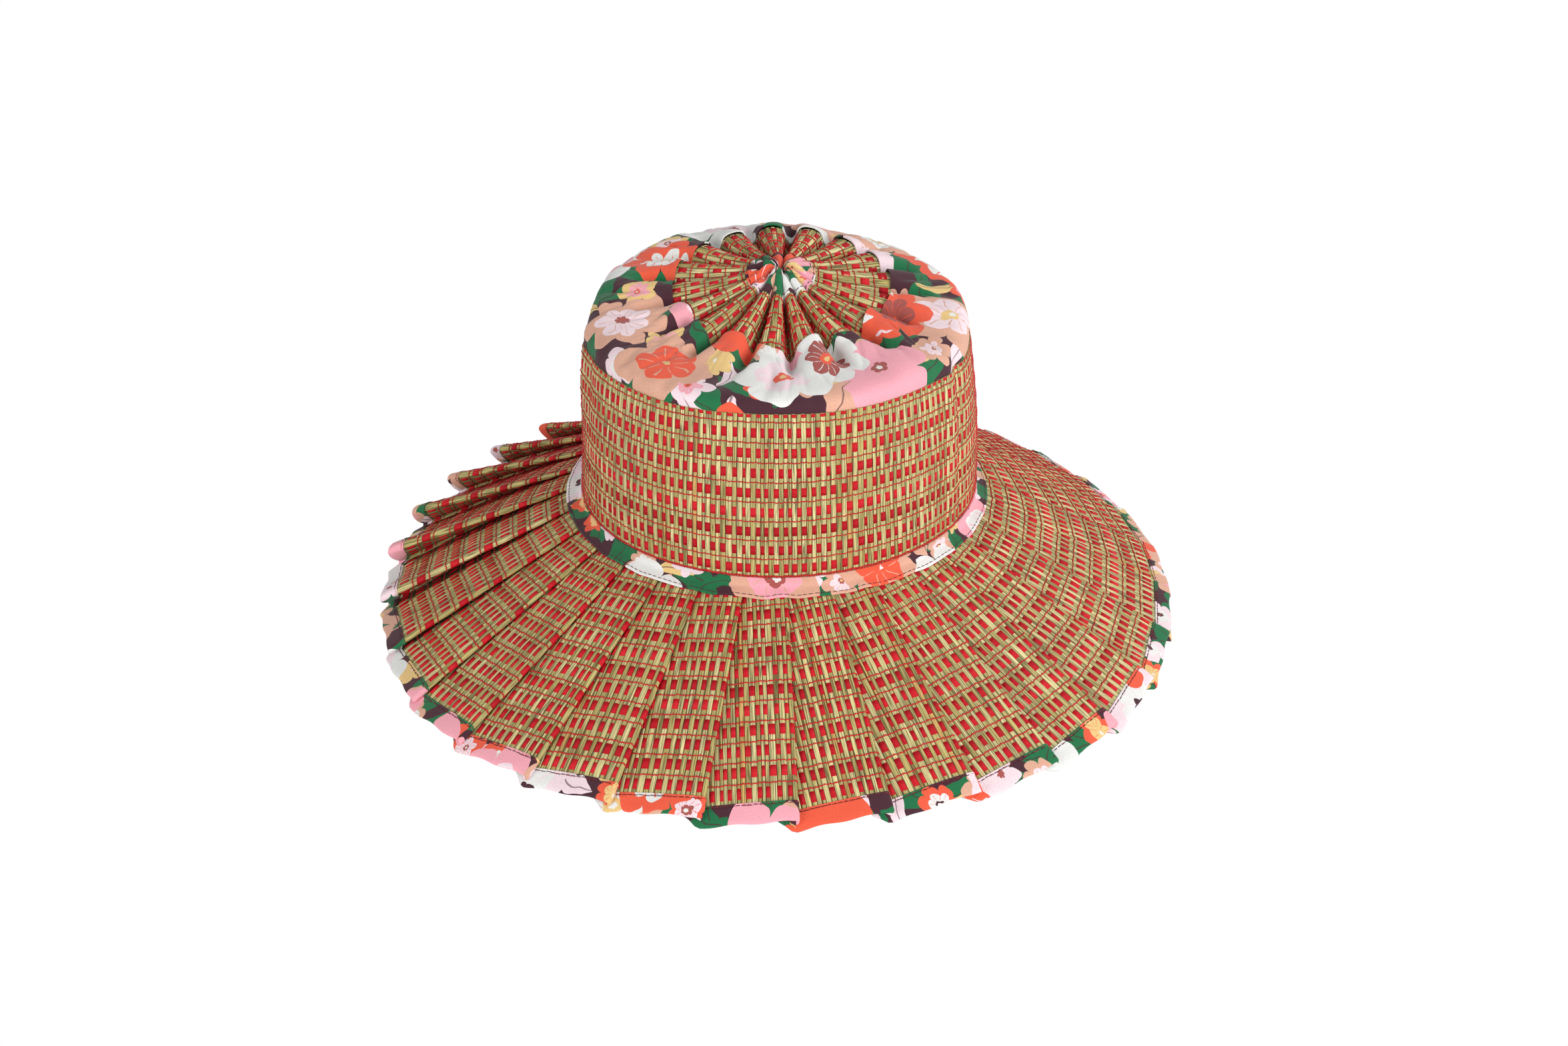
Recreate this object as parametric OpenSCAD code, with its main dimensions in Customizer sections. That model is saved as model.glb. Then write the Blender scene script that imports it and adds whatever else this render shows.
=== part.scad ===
// Wide-brimmed sun hat of woven reed matting: a pleated brim, an upright side band, a puffed
// ring of printed cotton and a gathered rosette on top, trimmed with cotton and lined with a
// sweatband. Millimetres, +Z up, front towards -Y. The origin lies on the hat's axis, in the
// plane that the brim's edge rests on.

/* [Head] */
// Girth of the head that the sweatband fits
head_girth = 575; // [560:1:590]
// Height of the sweatband
sweatband_h = 28; // [22:1:32]
// Thickness of the sweatband at its top edge
sweatband_t = 0.9; // [0.7:0.1:1.4]
// Height of the set-back lip along the sweatband's bottom edge, which holds its stitches
sweatband_lip_h = 2.4; // [2:0.1:4]
// How far that lip is set back from the head
sweatband_lip_back = 1.1; // [0.9:0.1:1.5]

/* [Matting] */
// Thickness of the reed matting
mat_t = 1.0; // [0.8:0.1:1.2]
// Distance from one thread row of the weave to the next
row_pitch = 8.9; // [8:0.1:10]
// Width of a thread row
thread_w = 0.6; // [0.4:0.1:1]
// How far a thread row stands out from the reeds
thread_t = 0.4; // [0.2:0.1:0.6]
// Width of the ribbon woven between two thread rows
ribbon_w = 3.6; // [2.5:0.1:4.5]
// Thickness of that ribbon
ribbon_t = 0.3; // [0.2:0.1:0.6]

/* [Cotton] */
// Thickness of the printed cotton trim
cotton_t = 0.35; // [0.3:0.05:0.5]
// Thickness of the stiffened cotton in the puffed ring
ring_t = 0.8; // [0.6:0.1:1.2]
// Thickness of the sewing thread
stitch_t = 0.5; // [0.3:0.1:0.7]

/* [Side band] */
// Height of the side band, with the part that its bottom trim covers
band_h = 76.7; // [65:0.1:90]
// How much narrower in radius the band is at its top than at its bottom
band_taper = 7.1; // [4:0.1:10]
// How far the band's side bulges out from a straight line
band_belly = 0.9; // [0:0.1:1.5]
// Direction of the lapped join in the band
join_angle = -29; // [-180:1:180]
// Width of that lap
join_lap = 12; // [6:1:20]

/* [Head trim] */
// How far the head trim climbs the side band
trim_climb = 3.7; // [3:0.1:6]
// How far the head trim reaches out over the brim
trim_reach = 7.5; // [6:0.1:12]

/* [Puffed ring] */
// Rise of the ring over the band's top at the front, where it is pressed flat
ring_front_h = 7; // [4:0.5:12]
// Rise of the ring at the back, where it stands up
ring_back_h = 24; // [16:0.5:28]
// Height of the rosette's edge over the band's top at the front
rim_front_h = 1.5; // [0:0.5:4]
// Height of the rosette's edge over the band's top at the back
rim_back_h = 22.5; // [14:0.5:26]

/* [Rosette] */
// Outer radius of the rosette
rosette_r = 48; // [42:0.5:52]
// Number of pleats in the rosette
rosette_pleats = 17; // [15:1:18]
// Depth of the rosette's pleats at its outer edge
rosette_depth_out = 8; // [5:0.5:10]
// Depth of the rosette's pleats at its middle
rosette_depth_in = 9; // [6:0.5:10]
// Height of the rosette's middle over the band's top
rosette_rise = 22.5; // [19:0.5:28]
// Radius of the small opening at the rosette's middle
rosette_hole_r = 5; // [4.8:0.1:6.5]
// Radius at which the rosette's cotton binding meets the reeds
rosette_trim_r = 12.5; // [12:0.1:15]

/* [Brim] */
// Width of the brim down its slope, from the head seam to the edge, along a crest
brim_w = 107; // [90:1:120]
// Slope of the brim
brim_slope = 24.7; // [20:0.1:28]
// Number of pleats in the brim
brim_pleats = 32; // [30:1:34]
// Direction of the first crest
first_crest = -87.6; // [-100:0.1:-76]
// Height of the folded pleats at the head seam
head_pleat_h = 4.6; // [4.4:0.1:6]
// Height of the pleats at the outer edge where they lie flat
flat_pleat_h = 5.2; // [5:0.1:8]
// Height of the pleats at the outer edge where they stand up
raised_pleat_h = 13; // [8:0.5:18]
// Direction in which the pleats stand highest
raised_side = 172; // [90:1:270]
// How far each pleat is folded under at the head seam
head_tuck = 14.5; // [12:0.1:15]
// How far each flat pleat is folded under at the outer edge
edge_tuck = 8; // [6:0.1:12]
// How far each raised pleat is folded under at the outer edge
raised_tuck = 2; // [1:0.1:4]
// How far a panel's rows lean from square to its crest
row_lean = 2.8; // [0:0.1:5]
// Space between two layers in a fold of the matting, centre to centre
fold_gap = 1.3; // [1.25:0.05:1.6]
// Width of the cotton binding along the brim's outer edge
edge_trim_w = 8.6; // [6:0.1:12]
// Distance from that binding's inner edge to its stitches
edge_stitch_in = 1.4; // [1:0.1:3]

/* [Hidden] */

// Space left between two pieces that are sewn together
seam = 0.15;
// Space between a cotton binding and the matting inside it
wrap = 0.05;
// Colours of the reeds, the red thread and ribbon, the cotton and the sewing thread
straw = "#C3BC80";
red = "#C8202C";
print_ground = "#5A2C33";
print_light = "#D8A58C";
maroon = "#5E1A24";
lining = "#E4DCC8";

$fn = 96;
head_r = head_girth / (2 * PI);

// The brim: a cone of valleys with crests folded over it.
edge_half_t = mat_t / 2 + wrap + cotton_t;
edge_fold_gap = 2 * edge_half_t + 0.3;
sweatband_top_t = sweatband_h - brim_sunk();
band_r0 = head_r + sweatband_t + seam + mat_t + band_lean(sweatband_top_t / band_h);
brim_in_r = band_r0 - mat_t;
brim_out_r = brim_in_r + brim_w * cos(brim_slope);
pleat_pitch = 360 / brim_pleats;
// Share of the brim's width, from the head, over which the pleats keep one height
head_share = 0.12;
// Distance from the axis of the corners that the hat rests on
rest_r = start_r(brim_out_r);

// The side band
band_z0 = crest_top(band_r0) + seam;
band_z1 = band_z0 + band_h;
band_top_r = band_r(band_z1);
row_z0 = band_z0 + trim_climb + cotton_t + 0.2;
rows = floor((band_z1 - row_z0 - thread_w) / row_pitch);
ribbon_z = (row_pitch + thread_w - ribbon_w) / 2;

// The rosette
rosette_mat_in_r = rosette_trim_r - 1.3;
rosette_z = band_z1 + rosette_rise;
half_pleat = 180 / rosette_pleats;

function mix(a, b, t) = a + (b - a) * t;
function smooth(t) = let (c = min(1, max(0, t))) c * c * (3 - 2 * c);
function unit(v) = v / norm(v);

// How far the sweatband reaches below the band's bottom edge, to cover the pleats' ends
function brim_sunk() = head_pleat_h + mat_t + seam;

// How far the band has drawn in at share t of its height
function band_lean(t) = band_taper * t - 4 * band_belly * t * (1 - t);
function band_r(z) = band_r0 - band_lean((z - band_z0) / band_h);

// Height of the brim's cone, of its crests at the head, and what grows towards its edge. A
// place on the brim is told by its distance s from the axis along the crest of its pleat.
function brim_z(r) = (rest_r - r) * tan(brim_slope);
function crest_top(r) = brim_z(r) + edge_half_t + head_pleat_h + mat_t / 2;
function brim_share(s) = (s - brim_in_r) / (brim_out_r - brim_in_r);
function grown(s) = max(0, brim_share(s) - head_share) / (1 - head_share);
function raised(k) = pow(max(0, cos(first_crest + k * pleat_pitch - raised_side)), 1.5);
function pleat_h(k, s) = mix(head_pleat_h, mix(flat_pleat_h, raised_pleat_h, raised(k)), grown(s));
function tuck(k, s) = mix(head_tuck, mix(edge_tuck, raised_tuck, raised(k)), brim_share(s));
function tuck_angle(k, s) = tuck(k, s) / s * 180 / PI;
function gap_at(s) = mix(fold_gap, edge_fold_gap, grown(s));

// A panel's rows run straight across it, nearly square to its crest, so they lie further out
// at the angle b from the crest. At the head seam they bend round with the seam.
function row_r(s, b) = s * mix(1, cos(row_lean) / cos(b - row_lean), brim_share(s));
function start_r(s) = row_r(s, pleat_pitch);

// Height over the cone at which panel k starts, so that its bound edge just meets z = 0
function foot(k) =
    let (run = brim_out_r * pleat_pitch * PI / 180 + tuck(k - 1, brim_out_r))
    let (tilt = atan(pleat_h(k, brim_out_r) / run))
    edge_half_t * cos(tilt) / (1 - sin(tilt));
function valley(k, s) = mix(edge_half_t, foot(k), grown(s));

// One pleat at s, as [direction, height over the cone, radius]. A panel climbs from under
// the last crest to its own, then a short return folds back beneath it.
function pleat(k, s) =
    let (a = first_crest + k * pleat_pitch, p = pleat_pitch, h = pleat_h(k, s))
    let (t = tuck_angle(k, s), u = tuck_angle(k - 1, s), v = valley(k, s))
    [
        [a - p - u, v, start_r(s)],
        [a - p, v + h * u / (p + u), start_r(s)],
        [a - t, v + h * (p + u - t) / (p + u), row_r(s, t)],
        [a, v + h, s],
        [a, v + h - gap_at(s), s],
        [a - t, valley(k + 1, s) + gap_at(s), start_r(s)],
    ];
function pleats(s) = [for (k = [0 : brim_pleats - 1]) each pleat(k, s)];

// The corners of a folded sheet push its two faces apart along these directions.
function corner(p, q, s, mm) =
    let (d = unit([(q[0] - p[0]) * mm, q[1] - p[1]]), e = unit([(s[0] - q[0]) * mm, s[1] - q[1]]))
    let (m = [-d[1], d[0]], n = [-e[1], e[0]])
    (m + n) / (1 + m * n);

// A closed fold line at radius r, moved out to the face that lies n from its middle
function moved(line, r, n) =
    let (c = len(line), mm = r * PI / 180)
    [for (i = [0 : c - 1])
        let (before = i == 0 ? line[c - 1] - [360, 0] : line[i - 1])
        let (after = i == c - 1 ? line[0] + [360, 0] : line[i + 1])
        let (m = corner(before, line[i], after, mm) * n)
        [line[i][0] + m[0] / mm, line[i][1] + m[1], line[i][2]]];

// A closed ring from one loop of points per corner of its section, which runs anticlockwise
// with the radius to the right and up upwards.
module loop_ring(loops) {
    m = len(loops);
    c = len(loops[0]);
    faces = [for (i = [0 : c - 1], j = [0 : m - 1])
        let (i1 = (i + 1) % c, j1 = (j + 1) % m)
        each [[j * c + i, j1 * c + i, j1 * c + i1], [j * c + i, j1 * c + i1, j * c + i1]]];
    polyhedron(points = [for (l = loops) each l], faces = faces);
}

// A pleated ring of the brim, whose section is a list of [s, distance from the middle]
module brim_ring(section) {
    loop_ring([for (q = section)
        [for (p = moved(pleats(q[0]), q[0], q[1]))
            [p[2] * cos(p[0]), p[2] * sin(p[0]), brim_z(p[2]) + p[1]]]]);
}

// Height of the puffed ring's middle line: s runs from 0 at the band to 1 at the rosette.
function back_share(a) = (1 + sin(a)) / 2;
function rim_z(a) = band_z1 + mix(rim_front_h, rim_back_h, back_share(a));
function puff(a, s) =
    let (h = mix(ring_front_h, ring_back_h, back_share(a)), end = rim_z(a) - band_z1)
    h * pow(1 - pow(1 - s, 2.6), 1 / 2.6) + (end - h) * s;
// The rosette's pleats run from -1 in a valley to 1 on a ridge.
function zigzag(a) = let (t = a / half_pleat, f = t - 2 * floor(t / 2)) 1 - 2 * abs(f - 1);
ring_out_r = band_top_r - mat_t / 2;
ring_in_r = rosette_r + seam;
ring_seat = band_z1 + seam + ring_t / 2;
function ring_point(a, s) =
    let (r = mix(ring_out_r, ring_in_r, s), d = rosette_depth_out / 2 * smooth((s - 0.4) / 0.6))
    [r * cos(a), r * sin(a), mix(ring_seat, band_z1, s) + puff(a, s) + d * zigzag(a)];
function ring_normal(a, s) =
    let (s0 = max(0, s - 0.02), s1 = min(1, s + 0.02))
    unit(cross(ring_point(a, s0) - ring_point(a, s1), ring_point(a + 1, s) - ring_point(a - 1, s)));
function ring_loop(s, n) =
    [for (i = [0 : 4 * rosette_pleats - 1])
        let (a = i * half_pleat / 2)
        ring_point(a, s) + n * (s == 0 ? [cos(a), sin(a), 0] : ring_normal(a, s))];

// The rosette's pleats at radius r: ridges and valleys as wide as the layers that turn there
function rosette_depth(r) = mix(rosette_depth_in, rosette_depth_out, r / rosette_r);
function fold_w(r) = min(2 * mat_t, 0.88 * r * half_pleat * PI / 180);
function rosette_folds(r) =
    [for (i = [0 : 2 * rosette_pleats - 1], side = [-1, 1])
        [
            i * half_pleat + side * fold_w(r) / r * 90 / PI,
            (2 * (i % 2) - 1) * rosette_depth(r) / 2,
            r,
        ]];
function rosette_top(a, r) = mix(rosette_z, rim_z(a), r / rosette_r);

// A pleated ring of the rosette, whose section is a list of [radius, distance from the middle]
module rosette_ring(section) {
    loop_ring([for (q = section)
        [for (p = moved(rosette_folds(q[0]), q[0], q[1]))
            [p[2] * cos(p[0]), p[2] * sin(p[0]), rosette_top(p[0], p[2]) + p[1]]]]);
}

// Pleated disc of reed matting on top of the crown
module crown_rosette() {
    radii = [rosette_mat_in_r, 22, 35, rosette_r];
    n = len(radii) - 1;
    under = [for (r = radii) [r, -mat_t / 2]];
    over = [for (i = [n : -1 : 0]) [radii[i], mat_t / 2]];
    color(straw) rosette_ring(concat(under, over));
}

// Cotton folded over the rosette's inner edge and drawn up into fins
module rosette_binding() {
    slot = mat_t / 2 + wrap;
    face = slot + cotton_t;
    slot_end = rosette_mat_in_r - seam;
    color(print_ground) rosette_ring([
        [rosette_hole_r, -cotton_t], [slot_end - 0.6, -face], [rosette_trim_r, -face],
        [rosette_trim_r, -slot], [slot_end, -slot], [slot_end, slot], [rosette_trim_r, slot],
        [rosette_trim_r, face], [slot_end - 0.6, face], [rosette_hole_r, cotton_t],
    ]);
}

// Stitches that hold the rosette's binding, one over each ridge
module rosette_stitching() {
    r = rosette_trim_r - 2 * stitch_t;
    long = fold_w(r) + mat_t;
    face = mat_t / 2 + wrap + cotton_t;
    color(maroon)
    for (i = [1 : 2 : 2 * rosette_pleats - 1])
        rotate([0, 0, i * half_pleat])
        translate([r, -long / 2, rosette_top(i * half_pleat, r) + rosette_depth(r) / 2 + face + seam])
        cube([stitch_t, long, stitch_t]);
}

// Loop of thread that draws the rosette's middle together
module rosette_gathering_thread() {
    wire = 0.8 * stitch_t;
    color(maroon)
    translate([0, 0, rosette_z])
    rotate_extrude()
    translate([rosette_hole_r - wire - 0.5, 0]) circle(r = wire, $fn = 24);
}

// Puffed ring of printed cotton between the side band and the rosette
module crown_ring() {
    stations = [0, 0.03, 0.1, 0.25, 0.5, 0.75, 1];
    n = len(stations) - 1;
    under = [for (i = [n : -1 : 0]) ring_loop(stations[i], -ring_t / 2)];
    over = [for (s = stations) ring_loop(s, ring_t / 2)];
    color(print_light) loop_ring(concat(under, over));
}

// Heights at which the side band's outline has a point, so that each row lies on it exactly
function thread_z(i) = row_z0 + i * row_pitch;
band_points = concat(
    [band_z0],
    [for (i = [0 : rows]) each concat(
        [thread_z(i), thread_z(i) + thread_w],
        i < rows ? [thread_z(i) + ribbon_z, thread_z(i) + ribbon_z + ribbon_w] : [])],
    [band_z1]);

// A ring that lies on the band's face between two heights
module band_row(low, high, thick) {
    polygon([
        [band_r(low), low], [band_r(low) + thick, low],
        [band_r(high) + thick, high], [band_r(high), high],
    ]);
}

// Upright band of reed matting, with its lapped join
module side_band() {
    n = len(band_points) - 1;
    outer = [for (z = band_points) [band_r(z), z]];
    inner = [for (i = [n : -1 : 0]) [band_r(band_points[i]) - mat_t, band_points[i]]];
    lap_low = band_z0 + sweatband_h + 2;
    lap_high = band_z1 - 2;
    color(straw) {
        rotate_extrude() polygon(concat(outer, inner));
        rotate([0, 0, join_angle])
        rotate_extrude(angle = join_lap / band_r(lap_low) * 180 / PI)
        polygon([
            [band_r(lap_low) - 2 * mat_t, lap_low], [band_r(lap_low) - 1.5 * mat_t, lap_low],
            [band_r(lap_high) - 0.5 * mat_t, lap_high], [band_r(lap_high) - 2 * mat_t, lap_high],
        ]);
    }
}

// Red threads that bind the band's reeds, row by row
module side_band_threads() {
    color(red)
    for (i = [0 : rows])
        rotate_extrude() band_row(thread_z(i), thread_z(i) + thread_w, thread_t);
}

// Red ribbons woven between the thread rows
module side_band_ribbons() {
    color(red)
    for (i = [0 : rows - 1])
        rotate_extrude()
        band_row(thread_z(i) + ribbon_z, thread_z(i) + ribbon_z + ribbon_w, ribbon_t);
}

// Stitches through the band's lapped join, one in each row
module band_join_stitching() {
    color(maroon)
    for (i = [0 : rows - 1])
        rotate([0, 0, join_angle])
        rotate_extrude(angle = stitch_t / band_r0 * 180 / PI)
        band_row(thread_z(i) + ribbon_z + ribbon_w + 0.3, thread_z(i + 1) - 0.3, stitch_t);
}

// Cotton strip that covers the seam between the side band and the brim
trim_out_r = band_r0 + trim_reach;
trim_low = seam;
module head_binding() {
    face = band_r0 + seam;
    color(print_ground)
    rotate_extrude()
    polygon([
        [face, crest_top(face) + trim_low], [trim_out_r, crest_top(trim_out_r) + trim_low],
        [trim_out_r, crest_top(trim_out_r) + trim_low + 2 * cotton_t],
        [face + 4.2, crest_top(face + 4.2) + trim_low + 2 * cotton_t],
        [face + 2 * cotton_t, band_z0 + trim_climb], [face, band_z0 + trim_climb],
    ]);
}

// Line of thread along the head trim's outer edge
module head_binding_stitching() {
    r = trim_out_r - 1;
    low = trim_low + 2 * cotton_t + wrap;
    color(maroon)
    rotate_extrude()
    polygon([
        [r - stitch_t, crest_top(r - stitch_t) + low], [r, crest_top(r) + low],
        [r, crest_top(r) + low + stitch_t],
        [r - stitch_t, crest_top(r - stitch_t) + low + stitch_t],
    ]);
}

// Pleated brim of reed matting
edge_slot_r = brim_out_r - cotton_t;
module brim() {
    radii = [brim_in_r, mix(brim_in_r, brim_out_r, head_share),
        mix(brim_in_r, brim_out_r, 0.55), edge_slot_r - seam];
    n = len(radii) - 1;
    under = [for (r = radii) [r, -mat_t / 2]];
    over = [for (i = [n : -1 : 0]) [radii[i], mat_t / 2]];
    color(straw) brim_ring(concat(under, over));
}

// Cotton folded over the brim's outer edge, following its pleats
edge_trim_in_r = brim_out_r - edge_trim_w * cos(brim_slope);
module brim_edge_binding() {
    slot = mat_t / 2 + wrap;
    color(print_ground) brim_ring([
        [edge_trim_in_r, -edge_half_t], [brim_out_r, -edge_half_t],
        [brim_out_r, edge_half_t], [edge_trim_in_r, edge_half_t],
        [edge_trim_in_r, slot], [edge_slot_r, slot],
        [edge_slot_r, -slot], [edge_trim_in_r, -slot],
    ]);
}

// A run of stitches along the part of pleat k that shows, on top of the edge binding
module stitch_run(k) {
    r1 = edge_trim_in_r + edge_stitch_in;
    low = edge_half_t + wrap;
    section = [[r1 - stitch_t, low], [r1, low], [r1, low + stitch_t], [r1 - stitch_t, low + stitch_t]];
    function at(line, t, n) =
        let (a = mix(line[1][0], line[3][0], t), r = row_r(line[3][2], line[3][0] - a))
        [r * cos(a), r * sin(a), brim_z(r) + mix(line[1][1], line[3][1], t) + n];
    points = [for (q = section, t = [0.08, 0.5, 0.97]) at(pleat(k, q[0]), t, q[1])];
    sides = [for (j = [0 : 3], i = [0 : 1])
        let (a = 3 * j + i, b = 3 * ((j + 1) % 4) + i)
        each [[a, b, b + 1], [a, b + 1, a + 1]]];
    ends = [[0, 9, 6], [0, 6, 3], [2, 5, 8], [2, 8, 11]];
    polyhedron(points = points, faces = concat(sides, ends));
}

// Stitches along the brim's edge binding
module brim_edge_stitching() {
    color(maroon) for (k = [0 : brim_pleats - 1]) stitch_run(k);
}

// Padded cotton band inside, round the wearer's head
sweatband_z0 = band_z0 - brim_sunk();
sweatband_z1 = sweatband_z0 + sweatband_h;
module sweatband() {
    back = [for (z = concat([for (z = band_points) if (z < sweatband_z1) z], [sweatband_z1]))
        [band_r(z) - mat_t - seam, z]];
    lip_z = sweatband_z0 + sweatband_lip_h;
    low_r = back[0][0];
    color(lining)
    rotate_extrude($fn = 180)
    polygon(concat([[low_r, sweatband_z0]], back, [
        [head_r, sweatband_z1], [head_r, lip_z], [head_r + sweatband_lip_back, lip_z],
        [head_r + sweatband_lip_back, sweatband_z0],
    ]));
}

// Line of thread along the sweatband's set-back lip
module sweatband_stitching() {
    r = head_r + sweatband_lip_back - wrap;
    z = sweatband_z0 + sweatband_lip_h / 2;
    color(maroon)
    rotate_extrude()
    translate([r - stitch_t, z - stitch_t / 2]) square(stitch_t);
}

crown_rosette();
rosette_binding();
rosette_stitching();
rosette_gathering_thread();
crown_ring();
side_band();
side_band_threads();
side_band_ribbons();
band_join_stitching();
head_binding();
head_binding_stitching();
brim();
brim_edge_binding();
brim_edge_stitching();
sweatband();
sweatband_stitching();
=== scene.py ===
import math

import bpy
import numpy as np
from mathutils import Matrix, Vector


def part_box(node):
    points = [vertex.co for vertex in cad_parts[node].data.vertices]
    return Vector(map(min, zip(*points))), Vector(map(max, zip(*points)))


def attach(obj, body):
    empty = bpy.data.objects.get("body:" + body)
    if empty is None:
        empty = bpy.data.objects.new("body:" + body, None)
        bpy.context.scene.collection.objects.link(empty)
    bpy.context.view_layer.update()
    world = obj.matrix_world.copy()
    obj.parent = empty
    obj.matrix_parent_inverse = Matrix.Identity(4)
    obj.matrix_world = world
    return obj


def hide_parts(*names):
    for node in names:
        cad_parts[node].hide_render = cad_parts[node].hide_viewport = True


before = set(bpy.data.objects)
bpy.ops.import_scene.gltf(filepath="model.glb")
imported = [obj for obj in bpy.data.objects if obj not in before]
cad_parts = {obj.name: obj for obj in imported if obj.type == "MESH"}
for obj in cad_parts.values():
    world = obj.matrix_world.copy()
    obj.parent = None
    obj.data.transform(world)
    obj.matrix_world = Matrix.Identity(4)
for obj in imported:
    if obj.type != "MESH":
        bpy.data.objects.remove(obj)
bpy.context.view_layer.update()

rad = math.radians
tau = 2 * math.pi


# Lengths are in millimetres until a mesh is made.
def lerp(a, b, t):
    return a + (b - a) * t


def smooth(t):
    t = np.clip(t, 0, 1)
    return t * t * (3 - 2 * t)


def bell(x, wide):
    return np.exp(-(x / wide) ** 2)


def angleGap(a, b):
    return (a - b + np.pi) % tau - np.pi


def polar(a, r, z, middle=(0, 0)):
    return np.stack([middle[0] + r * np.cos(a), middle[1] + r * np.sin(a), z], -1)


def pairs(u, v):
    return np.stack(np.broadcast_arrays(u, v), -1)


def unit(v):
    return v / np.maximum(1e-9, np.linalg.norm(v, axis=-1, keepdims=True))


def stepsRound(full, count):
    return np.linspace(0, full, count, endpoint=False)[:, None]


# The brim: a strip of matting in knife pleats. They stand up round the raised side and are
# softer round the wavy one. Sides are in degrees: 0 right, 90 back, 180 left, 270 front.
brim = {
    "inR": 93.88, "outR": 191.09, "restR": 192.957, "slope": 24.7, "halfT": 0.7, "pleats": 32, "firstCrest": -87.6,
    "headH": 4.2, "flatH": 3.6, "raisedH": 13.5,  # height of a pleat
    "headTuck": 14.5, "edgeTuck": 6.0, "raisedTuck": 2.0,  # depth of the hidden fold
    "gap": 1.2, "edgeGap": 1.5, "ridgeGap": 3.4,  # width of the crest's round
    "raisedSide": 158, "raisedReach": 58, "raisedFade": 38, "wavySide": 222, "wavySpan": 26,
    "headShare": 0.12, "lean": 2.8, "foldBack": 4.0, "backIn": 0.045, "cornerOut": 0.02, "corners": (-42, -138),
    "rows": 12, "firstRow": 6.9, "trimW": 8.6,  # rows of thread, the first one's distance from the edge, the trim
}
foldQ, returnQ, valleyQ = 3, 16, 19  # where the crest's fold, the return and the valley end
pitchAngle = tau / brim["pleats"]
leanTan = math.tan(rad(brim["lean"]))


def brimZ(r):
    return (brim["restR"] - r) * math.tan(rad(brim["slope"]))


def crestAngle(k):
    return rad(brim["firstCrest"]) + k * pitchAngle


def raised(k):
    off = np.abs(angleGap(crestAngle(k), rad(brim["raisedSide"])))
    return smooth((rad(brim["raisedReach"]) - off) / rad(brim["raisedFade"]))


def wavy(k):
    return bell(angleGap(crestAngle(k), rad(brim["wavySide"])), rad(brim["wavySpan"]))


def brimShare(s):
    return (s - brim["inR"]) / (brim["outR"] - brim["inR"])


def grown(s):
    return np.clip((brimShare(s) - brim["headShare"]) / (1 - brim["headShare"]), 0, 1.1)


def pleatH(k, s):
    flat = brim["flatH"] * (1 - 0.15 * wavy(k))
    return lerp(brim["headH"], lerp(flat, brim["raisedH"], raised(k)), grown(s))


def tuck(k, s):
    return lerp(brim["headTuck"], lerp(brim["edgeTuck"], brim["raisedTuck"], raised(k)), brimShare(s))


def valley(k, s):
    run = brim["outR"] * pitchAngle + tuck(k - 1, brim["outR"])
    tilt = np.arctan(pleatH(k, brim["outR"]) / run)
    return lerp(brim["halfT"], brim["halfT"] * np.cos(tilt) / (1 - np.sin(tilt)), grown(s))


def rowR(s, b):
    lean = rad(brim["lean"])
    return s * math.cos(lean) / np.cos(b - lean)


def panelReach(k, s):
    t = np.tan(pitchAngle + tuck(k - 1, s) / s)
    return s * t / (1 + t * leanTan)


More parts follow.
